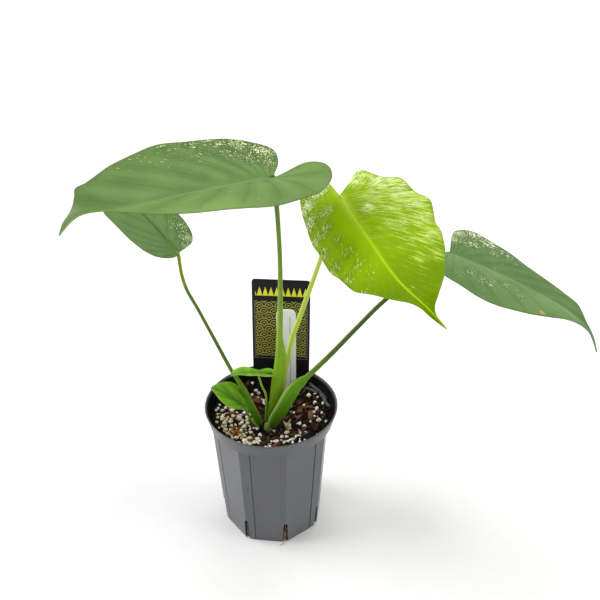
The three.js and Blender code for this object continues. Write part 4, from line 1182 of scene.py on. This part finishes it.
crown = make_crown()
dress(crown, crown_finish(), "stalk_green")
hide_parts("crown_stem")
print("crown:", len(crown.data.polygons), "faces")

# %% [markdown]
# The potting mix is many things at once. Its bed is a grid wrapped into a filled block, with a
# crumbly top that noise raises, and rough sides that show in the slits. Grains, chips, crumbs and
# fibres then lie in it, each modelled once and copied to its place with a seeded draw.

# %% The bed of the mix
MIX = dict(
    top=111, bank=7.5, bank_from=26, bank_to=48, roughness=0.8, within=51, bottom=2.8, side_gap=2.1,
)
BAND_MIX = dict(from_z=115, level_z=114.5, slope=0.33, gap=0.5)


def bed_height(x, y):
    swell = np.sin(0.21 * x + 1.3) * np.cos(0.18 * y - 0.4)
    lumps = np.sin(0.47 * x - 0.31 * y + 2.1) * np.sin(0.39 * y + 0.22 * x)
    banked = MIX["bank"] * smoothstep(MIX["bank_from"], MIX["bank_to"], np.hypot(x, y))
    return MIX["top"] + banked + MIX["roughness"] * (swell + lumps)


def mix_edge(bearing, z):
    """The furthest the mix may reach: inside the eight-cornered wall, or the round band above it."""
    round_reach = corner_radius(POT["band_bottom"]) - POT["wall"]
    round_reach = round_reach + BAND_MIX["slope"] * (z - BAND_MIX["level_z"]) - BAND_MIX["gap"]
    return np.where(z < BAND_MIX["from_z"], wall_radius(bearing, z) - MIX["side_gap"], round_reach)


def crumble(places, size, depth):
    """Noise at each place, for lumps of about that size."""
    return np.array([depth * noise.fractal(Vector(p) / size, 0.7, 2.1, 4) for p in places])


BED_GRID = (160, 50, 44)


def make_bed():
    around, rings, down = BED_GRID
    piece = new_grid("mix_bed", around, rings + down)
    uv = places_of(piece)
    bearing = (uv[:, 0] + 0.5) * 360
    ring = np.rint((uv[:, 1] + 0.5) * (rings + down)).astype(int)
    top = ring <= rings
    bank_top = MIX["top"] + MIX["bank"]
    edge_top = mix_edge(bearing, np.full(len(uv), bank_top))
    radius = edge_top * (np.minimum(ring, rings) / rings) ** 0.75
    flat = outwards(bearing, radius, 0)
    level = bed_height(flat[:, 0], flat[:, 1])
    raised = crumble(flat, 5, 1.3) + crumble(flat, 1.6, 0.5)
    z_top = level + raised * (0.35 + 0.65 * smoothstep(1, 0.9, radius / edge_top))
    share = np.clip((ring - rings) / (down - 1), 0, 1)
    z = np.where(top, z_top, bank_top - 0.4 + (MIX["bottom"] - bank_top + 0.4) * share)
    edge = mix_edge(bearing, z)
    uneven = crumble(outwards(bearing, edge, z) + 50, 2.2, 0.5) - 0.5
    rough = np.where(top | (ring >= rings + down - 1), 0, uneven)
    radius = np.where(top, radius, edge + np.minimum(rough, 0))
    radius = np.where(ring == rings + down, 0, radius)
    flat = outwards(bearing, radius, z)
    set_places(piece, flat)
    close_up(piece, smooth_below=70)
    return piece


bed = make_bed()
print("bed:", len(bed.data.polygons), "faces")

# %% [markdown]
# A scatter has to come out the same each time, so its draws come from a small seeded stream. A
# grain is modelled once and copied, and each copy is tipped, turned and sunk into the bed. A
# copy has a mesh of its own, because a finished piece stands at the origin.

# %% Draws and copies
MOST_TIP = 0.9


def random_stream(seed):
    state = seed
    while True:
        state = (state * 1664525 + 1013904223) % 2**32
        yield state / 2**32


def lumpy_grain(name, finer, jag, seed):
    """A ball from the Add menu, worn into an uneven grain of radius 1."""
    grain = added(name, bpy.ops.mesh.primitive_ico_sphere_add, subdivisions=finer, radius=1)
    for vertex in grain.data.vertices:
        away = vertex.co.normalized()
        lump = noise.noise(away * 1.3 + Vector((seed, 0, 0)))
        lump += 0.5 * noise.noise(away * 3 + Vector((0, seed, 0)))
        vertex.co = away * (1 + jag * lump)
    return grain


def joined(name, copies, smooth_below=50):
    pick(*copies)
    bpy.ops.object.join()
    piece = bpy.context.object
    piece.name = name
    piece.data.name = name
    bpy.ops.object.shade_smooth_by_angle(angle=math.radians(smooth_below))
    return piece


def add_copy(copies, shapes, matrix):
    """Takes the shapes by turns."""
    copies.append(placed_copy(shapes[len(copies) % len(shapes)], matrix))


def joined_without(shapes, name, copies, smooth_below=50):
    """Joins the copies and removes the shapes that they were made from."""
    for shape in shapes:
        bpy.data.objects.remove(shape)
    return joined(name, copies, smooth_below)


def strewn(draw, reach):
    """A place drawn evenly from a disc."""
    return outwards(360 * draw(), reach * math.sqrt(draw()), 0)[:2]


def settled(draw, x, y, sunk, size):
    """Tips a copy a little, turns it about and lets it sink into the bed, clear of the wall."""
    room = float(mix_edge(math.degrees(math.atan2(x, -y)), bed_height(x, y)))
    inward = min(1, (room - max(size)) / max(1, math.hypot(x, y)))
    x, y = x * inward, y * inward
    tip = Matrix.Rotation((draw() - 0.5) * MOST_TIP, 4, "X")
    lean = Matrix.Rotation((draw() - 0.5) * MOST_TIP, 4, "Y")
    spin = Matrix.Rotation(draw() * math.pi, 4, "Z")
    at = Vector((x, y, bed_height(x, y) - sunk)) * MM
    grow = Matrix.Diagonal((*(s * MM for s in size), 1))
    return Matrix.Translation(at) @ spin @ lean @ tip @ grow


# %% [markdown]
# Pale perlite lies thickly to the left of the stalks and is scattered elsewhere. The first draw
# is the one that placed the grains in the solid, large grains that catch the eye have their own
# places, and smaller grains fill in between. In the thick patch a grain that would sink into
# another is left out, so dark gaps stay between them.

# %% Perlite
PERLITE = dict(scattered=58, clustered=34, smallest=1.3, largest=2.6, tries=230, small=110)
CLUSTER = dict(bearing=-55, spread=42, nearest=26, furthest=47)
THICK_PATCH = dict(bearing=-68, spread=38, nearest=19, furthest=51)
APART = 0.92
MOST_DRAWS = 4000
# The x, y and width of each label, and the x, y and radius of each large grain.
LABEL_PLACES = [(8, 36.4, 53), (13.5, 26.6, 17.4)]
LARGE_GRAINS = [
    (34.5, 25.3, 2.4), (43.1, -11.5, 2.6), (41.7, 7.1, 2.1), (38.9, 3.2, 1.7), (46.1, -0.7, 1.7),
    (49.3, -14.8, 1.6), (20.4, 8.2, 1.4), (1.5, -8, 2.2), (2.6, -17, 1.7), (14.4, -21, 2.5),
    (-9.7, -22.7, 2.1), (-12.6, -30.2, 1.8), (-21.8, -40.5, 2.1), (-19.6, -41.6, 1.6),
    (-8.8, -34.9, 1.3), (1.5, -35.6, 1.7), (4, -36.4, 1.8), (6.4, -37.1, 2.1), (9.3, -32.4, 1.6),
    (12.5, -39.3, 2), (15.6, -37.9, 1.7), (22.9, -30.1, 2), (26.4, -23.8, 1.7), (-16.1, 36.3, 2.1),
    (-13.4, 33.4, 1.9), (-14, 29, 1.5), (-7.9, 21.4, 1.6), (25, -28, 1.4),
]


def is_clear(x, y, reach, crown_clear=13, label_clear=3.5):
    near_crown = math.hypot(x - CROWN["x"], y - CROWN["y"]) < crown_clear + reach
    near_labels = any(abs(y - ly) < label_clear + reach and abs(x - lx) < width / 2 + reach
                      for lx, ly, width in LABEL_PLACES)
    return not (near_crown or near_labels or math.hypot(x, y) > MIX["within"] - reach)


def sow_thick_patch(draw, shapes, copies, taken):
    """Small grains between the others, each apart from those that are there."""
    patch = THICK_PATCH
    for _ in range(PERLITE["tries"]):
        bearing = patch["bearing"] + patch["spread"] * (2 * draw() - 1)
        span = patch["furthest"] ** 2 - patch["nearest"] ** 2
        x, y, _ = outwards(bearing, math.sqrt(patch["nearest"] ** 2 + span * draw()), 0)
        size = 1.2 + 1.0 * draw()
        if all(math.hypot(x - a, y - b) > APART * (size + other) for a, b, other in taken):
            matrix = settled(draw, x, y, -0.9 * draw(), (size, (0.7 + 0.25 * draw()) * size, 0.85 * size))
            add_copy(copies, shapes, matrix)
            taken.append((x, y, size))


def make_perlite():
    draw = random_stream(20).__next__
    shapes = [lumpy_grain(f"perlite_{k}", 3, 0.42, 3.7 * k) for k in range(4)]
    small_shapes = [lumpy_grain(f"perlite_small_{k}", 2, 0.4, 9.1 + 2.3 * k) for k in range(3)]
    copies, taken = [], []
    total = PERLITE["scattered"] + PERLITE["clustered"]
    for _ in range(MOST_DRAWS):
        if len(copies) == total:
            break
        clustered = len(copies) < PERLITE["clustered"]
        bearing = CLUSTER["bearing"] + CLUSTER["spread"] * (2 * draw() - 1) if clustered else 360 * draw()
        in_cluster = CLUSTER["nearest"] + (CLUSTER["furthest"] - CLUSTER["nearest"]) * draw()
        radius = in_cluster if clustered else MIX["within"] * math.sqrt(draw())
        x, y, _ = outwards(bearing, radius, 0)
        size = PERLITE["smallest"] + (PERLITE["largest"] - PERLITE["smallest"]) * draw()
        if is_clear(x, y, size):
            narrow = 0.7 + 0.3 * draw()
            matrix = settled(draw, x, y, -0.1 * size, (0.95 * size, 0.95 * narrow * size, 0.8 * size))
            add_copy(copies, shapes, matrix)
            taken.append((x, y, size))
    for x, y, size in LARGE_GRAINS:
        matrix = settled(draw, x, y, -0.4 * size, (0.9 * size, 0.75 * size, 0.85 * size))
        add_copy(copies, shapes, matrix)
        taken.append((x, y, size))
    sow_thick_patch(draw, small_shapes, copies, taken)
    for _ in range(PERLITE["small"]):
        x, y = strewn(draw, MIX["within"])
        size = 0.4 + 0.7 * draw() ** 2
        if is_clear(x, y, size, crown_clear=9, label_clear=1.5):
            add_copy(copies, small_shapes, settled(draw, x, y, -0.3, (size, 0.8 * size, 0.8 * size)))
    return joined_without(shapes + small_shapes, "perlite", copies)


perlite = make_perlite()
print("perlite:", len(perlite.data.polygons), "faces")

# %% [markdown]
# Bark is split and layered. One chip starts as a cube that is subdivided, flattened and torn by
# noise, and is copied at many sizes. Crumbs of the same bark fill the bed between the chips.

# %% Bark and crumbs
BARK = dict(count=46, shortest=3.5, longest=12, extra=70, extra_longest=6, crumbs=1100)
# Chips are x, y, length, width and thickness. Slivers are x, y, length, heading and tilt.
UPRIGHT_CHIPS = ((-21.6, 33.5, 13, 3.6), (-19.4, 32.5, 10, 2.6), (-23.6, 33, 9, 2.4))
SLIVERS = ((44, 30, 26, -52, 4), (38, 38, 17, -40, -6), (49, 17, 18, -66, 8), (36, 32, 15, -20, 10))
LARGE_CHIPS = [
    (26.9, 23, 13, 4.5, 2.2), (33, 14, 12, 4.2, 2), (36.1, -0.7, 12, 4.5, 2.4), (28.7, -19.2, 9, 3.5, 1.8),
    (-9, -39.5, 11, 3.4, 1.8), (-2.1, -35, 9, 3, 1.6), (-14, 30.3, 9, 3.2, 2), (39, -20, 12, 4, 1.8),
    (5, -29, 8, 3, 1.4), (30, 32, 13, 3.6, 1.6),
]


def bark_chip(name, seed):
    chip = added(name, bpy.ops.mesh.primitive_cube_add, size=2)
    bpy.ops.object.mode_set(mode="EDIT")
    bpy.ops.mesh.select_all(action="SELECT")
    bpy.ops.mesh.subdivide(number_cuts=4)
    bpy.ops.object.mode_set(mode="OBJECT")
    for vertex in chip.data.vertices:
        at = vertex.co.copy()
        corner = max(abs(at.x), abs(at.y)) ** 3 * 0.22
        tear = noise.noise(Vector((at.x * 1.2, at.y * 1.2, seed)))
        layer = noise.noise(Vector((at.x * 0.8, at.y * 4.5, seed + 5))) * 0.35
        vertex.co = Vector((at.x * (1 + 0.28 * tear), at.y * (1 - 0.3 * tear), at.z * (1 - corner) + layer))
    return chip


def make_bark():
    draw = random_stream(77).__next__
    shapes = [bark_chip(f"chip_{k}", 4.1 * k) for k in range(5)]
    copies = []
    while len(copies) < BARK["count"] + BARK["extra"]:
        x, y = strewn(draw, MIX["within"])
        longest = BARK["longest"] if len(copies) < BARK["count"] else BARK["extra_longest"]
        length = BARK["shortest"] + (longest - BARK["shortest"]) * draw()
        if is_clear(x, y, length / 2, crown_clear=8, label_clear=2):
            size = (length / 2, length * (0.18 + 0.14 * draw()), 0.6 + 0.8 * draw())
            add_copy(copies, shapes, settled(draw, x, y, 0.2, size))
    for x, y, length, width, thick in LARGE_CHIPS:
        add_copy(copies, shapes, settled(draw, x, y, -0.4, (length / 2, width / 2, thick / 2)))
    upright = Matrix.Rotation(math.radians(78), 4, "Y") @ Matrix.Rotation(0.5, 4, "X")
    for x, y, length, width in UPRIGHT_CHIPS:
        at = Matrix.Translation(Vector((x, y, bed_height(x, y) + 0.36 * length)) * MM)
        grow = Matrix.Diagonal((length / 2 * MM, width / 2 * MM, 0.8 * MM, 1))
        turn = Matrix.Rotation(0.5 * (draw() - 0.5), 4, "Y")
        add_copy(copies, shapes, at @ turn @ upright @ grow)
    return joined_without(shapes, "bark_chips", copies, smooth_below=35)


def make_slivers():
    """Long weathered strips of wood that lie along the wall at the back right."""
    shape = bark_chip("sliver", 12.3)
    copies = []
    for x, y, length, heading, tilt in SLIVERS:
        at = Matrix.Translation(Vector((x, y, bed_height(x, y) + 1.2)) * MM)
        turn = Matrix.Rotation(math.radians(heading), 4, "Z") @ Matrix.Rotation(math.radians(tilt), 4, "Y")
        grow = Matrix.Diagonal((length / 2 * MM, 1.5 * MM, 0.7 * MM, 1))
        add_copy(copies, [shape], at @ turn @ grow)
    return joined_without([shape], "wood_slivers", copies, smooth_below=35)


def make_crumbs():
    draw = random_stream(5).__next__
    shapes = [lumpy_grain(f"crumb_{k}", 1, 0.7, 1.9 * k) for k in range(3)]
    copies = []
    for _ in range(BARK["crumbs"]):
        x, y = strewn(draw, MIX["within"] + 3)
        size = 0.4 + 0.9 * draw() ** 2
        add_copy(copies, shapes, settled(draw, x, y, -0.5, (1.5 * size, size, size)))
    return joined_without(shapes, "crumbs", copies, smooth_below=20)


bark = make_bark()
slivers = make_slivers()
crumbs = make_crumbs()
print("bark:", len(bark.data.polygons), "faces, crumbs:", len(crumbs.data.polygons))

# %% [markdown]
# Coconut fibre and dead roots thread the mix. Each is a thin curve with a round bevel, turned
# into a mesh. Most lie flat, a tuft stands up at the front left, and pale roots hang in the slits.
# A dry scale from an old leaf stands by the front stalk: a grid bent and given its thickness.

# %% Fibres and roots
FIBRES = dict(count=90, sown=46, within=50, half=0.16)
TUFT = dict(bearing=-47.4, reach=43, bristles=110, half=0.24)
SLIT_ROOTS = dict(each=7, half=0.42)
LOOSE_ROOT = ((0, 0, 8), (0.3, -0.6, 5.5), (-0.2, -1.6, 3), (-1.2, -2.8, 1.2), (-2.6, -4.2, 0.6),
              (-4, -5.4, 0.5))
HUSK = dict(x=15.2, y=-17.5, width=7, height=11, thickness=0.3)


def threads(name, lines, half, slim=0.5):
    """One mesh of round threads. Each line is a list of places, and thins towards its end."""
    curve = bpy.data.curves.new(name, "CURVE")
    curve.dimensions = "3D"
    curve.bevel_depth = half * MM
    curve.bevel_resolution = 1
    curve.use_fill_caps = True
    for line in lines:
        spline = curve.splines.new("POLY")
        spline.points.add(len(line) - 1)
        for k, place in enumerate(line):
            spline.points[k].co = (*(np.asarray(place) * MM), 1)
            spline.points[k].radius = 1 - (1 - slim) * k / (len(line) - 1)
    piece = bpy.data.objects.new(name, curve)
    bpy.context.collection.objects.link(piece)
    pick(piece)
    bpy.ops.object.convert(target="MESH")
    bpy.ops.object.shade_smooth_by_angle(angle=math.radians(60))
    return bpy.context.object


def lying_line(draw, x, y, length):
    heading = 2 * math.pi * draw()
    bend = (draw() - 0.5) * 0.5
    line = []
    for k in range(9):
        lift = 0.9 + 0.8 * math.sin(k * 1.1 + 6 * bend)
        line.append((x, y, bed_height(x, y) + lift))
        x += length / 8 * math.cos(heading)
        y += length / 8 * math.sin(heading)
        heading += bend
    return line


def make_fibres():
    draw = random_stream(41).__next__
    lines = []
    while len(lines) < FIBRES["count"]:
        x, y = strewn(draw, FIBRES["sown"])
        line = lying_line(draw, x, y, 5 + 9 * draw())
        if all(math.hypot(px, py) < FIBRES["within"] and is_clear(px, py, 0, crown_clear=5, label_clear=1.5)
               for px, py, _ in line):
            lines.append(line)
    return threads("coir_fibres", lines, FIBRES["half"])


def make_tuft():
    """A torn bit of husk whose bristles stand up and out at the front left."""
    draw = random_stream(17).__next__
    lines = []
    root_x, root_y, _ = outwards(TUFT["bearing"], TUFT["reach"], 0)
    root_z = bed_height(root_x, root_y) + 1
    for _ in range(TUFT["bristles"]):
        heading, rise, length = 2 * math.pi * draw(), 0.1 + 1.2 * draw() ** 1.5, 3 + 4 * draw()
        line = []
        for k in range(5):
            go = length * k / 4
            line.append((root_x + go * math.cos(heading), root_y + go * math.sin(heading),
                         root_z + go * rise - 0.05 * go * go))
        lines.append(line)
    return threads("coir_tuft", lines, TUFT["half"])


def make_slit_roots():
    draw = random_stream(63).__next__
    lines = []
    for bearing in corner_bearings:
        for _ in range(SLIT_ROOTS["each"]):
            line = []
            turn, z = 2.6 * (draw() - 0.5), 4 + 17 * draw()
            for _ in range(7):
                turn = max(-1.7, min(1.7, turn + 1.4 * (draw() - 0.5)))
                reach = wall_radius(bearing + turn, z) - 2.6 + 0.9 * draw()
                line.append(outwards(bearing + turn, reach, z))
                z = max(1.2, z - 1.2 - 1.4 * draw())
            lines.append(line)
    front = outwards(FIRST_CORNER - 0.6, corner_radius(0) - 1.2, 0)
    lines.append([front + np.array(step) for step in LOOSE_ROOT])
    return threads("slit_roots", lines, SLIT_ROOTS["half"], slim=0.6)


def make_husk():
    """A dry papery scale that stands by the front stalk, with a thread that trails from it."""
    grid_add = bpy.ops.mesh.primitive_grid_add
    scale = added("husk_scale", grid_add, x_subdivisions=6, y_subdivisions=9, size=2)
    root_x, root_y = HUSK["x"], HUSK["y"]
    root_z = bed_height(root_x, root_y) + 0.4
    for vertex in scale.data.vertices:
        across, up = vertex.co.x, 0.5 * vertex.co.y + 0.5
        torn = noise.noise(Vector((2 * across, 3 * up, 7)))
        half = HUSK["width"] / 2 * (0.35 + 0.65 * up) * (1 + 0.3 * torn)
        out = 1.3 * across**2 + 2.6 * up**2 + 0.8 * torn
        cleft = 1 - 0.45 * (1 - abs(across)) - 0.2 * max(0, -across)
        rise = HUSK["height"] * up * cleft + torn
        place = (root_x + across * half - 1.2 * up, root_y + out, root_z + rise)
        vertex.co = Vector(place) * MM
    apply_modifier(scale, "SOLIDIFY", thickness=HUSK["thickness"] * MM)
    line = []
    for k in range(9):
        x, y = root_x + 0.6 * k, root_y - 2.4 * k
        line.append((x, y, bed_height(x, y) + 1.3 + 1.2 * math.sin(1.3 * k)))
    return joined("dry_husk", [scale, threads("husk_thread", [line], 0.3)], smooth_below=60)


fibres = make_fibres()
tuft = make_tuft()
husk = make_husk()
slit_roots = make_slit_roots()
print("fibres:", len(fibres.data.polygons), "faces, roots:", len(slit_roots.data.polygons))

# %% [markdown]
# The mix is dark where it is damp and dries to warm brown. Bark is grained lengthwise in reds and
# near-blacks, and differs from chip to chip. Perlite is off-white, stained cream in the thick
# patch, with tiny pores. The weathered slivers are near-black wood whose blue-grey streaks are a
# painted sheen.

# %% The mix's finishes
def mix_finish(name, dark, warm, scale, depth=0.0006):
    damp = Finish(name, roughness=0.9)
    at = damp.place()
    patches = damp.grain(at, scale, 5, 0.65)
    tiny = damp.grain(at, scale * 6, 3)
    colour = damp.mixed(damp.between(patches, 0.42, 0.66), dark, warm)
    colour = damp.mixed(damp.between(tiny, 0.6, 0.75) * 0.35, colour, [min(1, 2.2 * c + 0.02) for c in warm])
    damp.set(Base_Color=colour, Specular_IOR_Level=0.12)
    damp.raise_by(patches * 0.5 + tiny * 0.5, depth, 0.8)
    return damp


def bark_finish():
    chip = Finish("bark", 0.8)
    at = chip.place()
    which = chip.grain(at, 75, 1)
    lines = chip.grain(chip.stretched(at, (300, 1500, 900)), 1, 3)
    colour = chip.ramp(which, [(0.3, (0.006, 0.004, 0.003)), (0.46, (0.018, 0.008, 0.005)),
                               (0.55, (0.075, 0.024, 0.012)), (0.68, (0.15, 0.06, 0.024))])
    colour = chip.mixed(chip.between(lines, 0.5, 0.7) * 0.35, colour, (0.16, 0.08, 0.045))
    chip.set(Base_Color=colour, Specular_IOR_Level=0.2)
    chip.raise_by(lines, 0.0006, 0.9)
    return chip


def perlite_finish():
    grain = Finish("perlite", 0.75)
    at = grain.place()
    to_left = 1 - grain.between(grain.axis(at, "X"), -0.034, 0.004)
    to_front = 1 - grain.between(grain.axis(at, "Y"), -0.012, 0.012)
    white = grain.mixed(grain.grain(at, 160, 2), (0.74, 0.72, 0.66), (0.86, 0.85, 0.80))
    patchy = grain.between(grain.grain(at, 190, 2), 0.35, 0.65)
    stained = grain.mixed(patchy, (0.62, 0.52, 0.24), (0.80, 0.74, 0.48))
    colour = grain.mixed(to_left * to_front * 0.85, white, stained)
    pores = grain.grain(at, 1500, 3)
    colour = grain.mixed(grain.between(pores, 0.62, 0.75) * 0.5, colour, (0.34, 0.28, 0.16))
    grain.set(Base_Color=colour)
    grain.raise_by(pores, 0.0004, 0.7)
    return grain


def sliver_finish():
    wood = Finish("dark_wood_with_painted_sheen", 0.42)
    at = wood.place()
    lines = wood.grain(wood.stretched(at, (500, 500, 900)), 1, 3)
    # Painted sheen: blue-grey streaks over near-black wood.
    colour = wood.mixed(wood.between(lines, 0.35, 0.7), (0.006, 0.010, 0.012), (0.075, 0.105, 0.115))
    wood.set(Base_Color=colour)
    wood.raise_by(lines, 0.0004, 0.8)
    return wood


bed_finish = mix_finish("damp_mix", (0.003, 0.002, 0.0015), (0.016, 0.008, 0.0045), 240)
crumb_finish = mix_finish("crumbs", (0.005, 0.003, 0.002), (0.040, 0.017, 0.009), 420)
fibre_finish = mix_finish("coir", (0.13, 0.055, 0.016), (0.40, 0.24, 0.09), 160, depth=0.0001)
tuft_finish = mix_finish("husk_bristles", (0.16, 0.055, 0.016), (0.48, 0.23, 0.08), 420, depth=0.0001)
husk_finish = mix_finish("papery_husk", (0.62, 0.44, 0.16), (0.86, 0.76, 0.44), 300, depth=0.0001)
root_finish = mix_finish("roots", (0.22, 0.10, 0.055), (0.52, 0.36, 0.24), 200, depth=0.0002)
for piece, look in ((bed, bed_finish), (crumbs, crumb_finish), (fibres, fibre_finish),
                    (slit_roots, root_finish), (bark, bark_finish()), (perlite, perlite_finish()),
                    (slivers, sliver_finish()), (tuft, tuft_finish), (husk, husk_finish)):
    dress(piece, look, "potting_mix")
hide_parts("soil")

# %% [markdown]
# Two labels stand in the mix behind the stems: a black laminated card and a white plastic stake.
# Each is a plane whose upper corners are rounded with a bevel, then given its thickness by
# Solidify. Its flat coordinates are kept as marks for the printing before it is leaned back.

# %% The labels
CARD = dict(width=53, thickness=1, foot=84, top=230.8, corner=3, x=8, y=36.4, lean=6, turn=-4.5)
STAKE = dict(width=17.4, thickness=0.9, foot=86, top=210.5, corner=5, x=13.5, y=26.6, lean=2, turn=-3)
LABEL_EDGE = 0.18


def make_label(name, label):
    piece = added(name, bpy.ops.mesh.primitive_plane_add, size=1)
    height = label["top"] - label["foot"]
    for vertex in piece.data.vertices:
        vertex.co.x *= label["width"] * MM
        vertex.co.y = (label["foot"] if vertex.co.y < 0 else label["top"]) * MM
    bpy.ops.object.mode_set(mode="EDIT")
    bpy.ops.mesh.select_mode(type="VERT")
    bpy.ops.mesh.select_all(action="DESELECT")
    bpy.ops.object.mode_set(mode="OBJECT")
    for vertex in piece.data.vertices:
        vertex.select = vertex.co.y > (label["top"] - 1) * MM
    bpy.ops.object.mode_set(mode="EDIT")
    bpy.ops.mesh.bevel(offset=label["corner"] * MM, segments=8, affect="VERTICES")
    bpy.ops.object.mode_set(mode="OBJECT")
    apply_modifier(piece, "SOLIDIFY", thickness=label["thickness"] * MM, offset=0)
    apply_modifier(piece, "BEVEL", width=LABEL_EDGE * MM, segments=2)
    flat = places_of(piece) / MM
    mark(piece, "print", np.stack([flat[:, 0], flat[:, 1] - label["top"], flat[:, 2]], axis=1))
    lean = Matrix.Rotation(math.radians(90 - label["lean"]), 4, "X")
    turn = Matrix.Rotation(math.radians(label["turn"]), 4, "Z")
    pivot = Matrix.Translation((0, -MIX["top"] * MM, 0))
    stand = Matrix.Translation(Vector((label["x"], label["y"], MIX["top"])) * MM)
    piece.data.transform(stand @ turn @ lean @ pivot)
    bpy.ops.object.shade_smooth_by_angle(angle=math.radians(30))
    print(name, "stands", height, "mm tall")
    return piece


card = make_label("plant_card", CARD)
stake = make_label("plant_stake", STAKE)

# %% [markdown]
# The card's print is plain: one band of yellow triangles above rows of olive scallops. The stake
# has two thin ruled lines to write between. Both are worked out from the label's own flat
# coordinates, so the edges stay sharp at any distance.

# %% The labels' finishes
# Heights on the print are measured down from the label's top.
TRIANGLES = dict(half=23.2, foot=-16, width=2.6, steep=3.4)
FRAME_LINE = dict(half=24.2, top=-21.2, foot=-80, edge=(0.14, 0.22))
SCALLOPS = dict(width=9.0, height=6.0, ring=1.1, top=-21.2, foot=-78)
RULES = dict(half=3.4, top=-7.4, foot=-84, edge=(0.18, 0.3))


def card_finish():
    black = Finish("black_card", 0.32)
    flat = black.marked("print", out="Vector")
    x, y = black.axis(flat, "X"), black.axis(flat, "Y")
    from_middle = black.sum("ABSOLUTE", x, 0)
    inside = 1 - black.between(from_middle, TRIANGLES["half"], TRIANGLES["half"] + 0.2)
    tooth = black.sum("PINGPONG", x + 100, TRIANGLES["width"]) * TRIANGLES["steep"]
    band = black.between(y, TRIANGLES["foot"] - 0.1, TRIANGLES["foot"] + 0.1)
    band = band * (1 - black.between(y - TRIANGLES["foot"] - tooth, -0.15, 0.15))
    half, top, foot = FRAME_LINE["half"], FRAME_LINE["top"], FRAME_LINE["foot"]
    frame_side = black.near_zero(from_middle - half, *FRAME_LINE["edge"])
    frame_side = frame_side * black.between(y, foot - 0.2, foot - 0.1)
    frame_side = frame_side * (1 - black.between(y, top, top + 0.1))
    frame_foot = black.near_zero(y - foot, *FRAME_LINE["edge"])
    frame_line = frame_side + frame_foot * (1 - black.between(from_middle, half + 0.1, half + 0.2))
    width, height = SCALLOPS["width"], SCALLOPS["height"]
    row = black.sum("FLOOR", (y + 200) * (1 / height), 0)
    shifted = black.sum("FLOORED_MODULO", x + 200 + row * (width / 2), width) - width / 2
    low = black.sum("FLOORED_MODULO", y + 200, height)
    arcs = black.sum("PINGPONG", (shifted ** 2 + low ** 2) ** 0.5, SCALLOPS["ring"])
    olive = black.between(arcs, 0.5, 0.66) * inside
    olive = olive * (1 - black.between(y, SCALLOPS["top"], SCALLOPS["top"] + 0.2))
    olive = olive * black.between(y, SCALLOPS["foot"], SCALLOPS["foot"] + 0.2)
    scuffs = black.grain(black.place(), 320, 4)
    colour = black.mixed(scuffs, (0.004, 0.004, 0.006), (0.009, 0.009, 0.012))
    colour = black.mixed(olive * 0.9, colour, (0.42, 0.40, 0.06))
    colour = black.mixed(frame_line * 0.7, colour, (0.40, 0.40, 0.34))
    colour = black.mixed(band * inside, colour, (0.86, 0.80, 0.04))
    front = black.between(black.axis(flat, "Z"), 0.42, 0.46)
    colour = black.mixed(front, (0.008, 0.008, 0.010), colour)
    black.set(Base_Color=colour, Roughness=0.30 + 0.2 * scuffs)
    black.set(Specular_IOR_Level=0.2)
    black.raise_by(scuffs, 0.0001, 0.3)
    return black


def stake_finish():
    white = Finish("white_stake", 0.4)
    flat = white.marked("print", out="Vector")
    x, y = white.axis(flat, "X"), white.axis(flat, "Y")
    at = white.place()
    smudge = white.grain(at, 130, 4)
    colour = white.mixed(smudge, (0.92, 0.92, 0.92), (0.98, 0.98, 0.98))
    rule = white.near_zero(white.sum("ABSOLUTE", x, 0) - RULES["half"], *RULES["edge"])
    rule = rule * (1 - white.between(y, RULES["top"], RULES["top"] + 0.2))
    rule = rule * white.between(y, RULES["foot"], RULES["foot"] + 0.2)
    colour = white.mixed(rule * 0.8, colour, (0.05, 0.05, 0.06))
    soil_line = 1 - white.between(white.axis(at, "Z") + 0.006 * (smudge - 0.5), 0.111, 0.118)
    colour = white.mixed(soil_line * 0.6, colour, (0.20, 0.14, 0.09))
    white.set(Base_Color=colour, Roughness=0.34 + 0.16 * smudge)
    white.raise_by(smudge, 0.00008, 0.3)
    return white


dress(card, card_finish(), "label_black")
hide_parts("label_card")
dress(stake, stake_finish(), "label_white")
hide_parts("label_stake")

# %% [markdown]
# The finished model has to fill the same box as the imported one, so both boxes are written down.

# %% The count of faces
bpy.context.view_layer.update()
shown = [p for p in bpy.context.scene.objects if p.type == "MESH" and not p.hide_render]
print("shown faces:", sum(len(p.data.polygons) for p in shown))
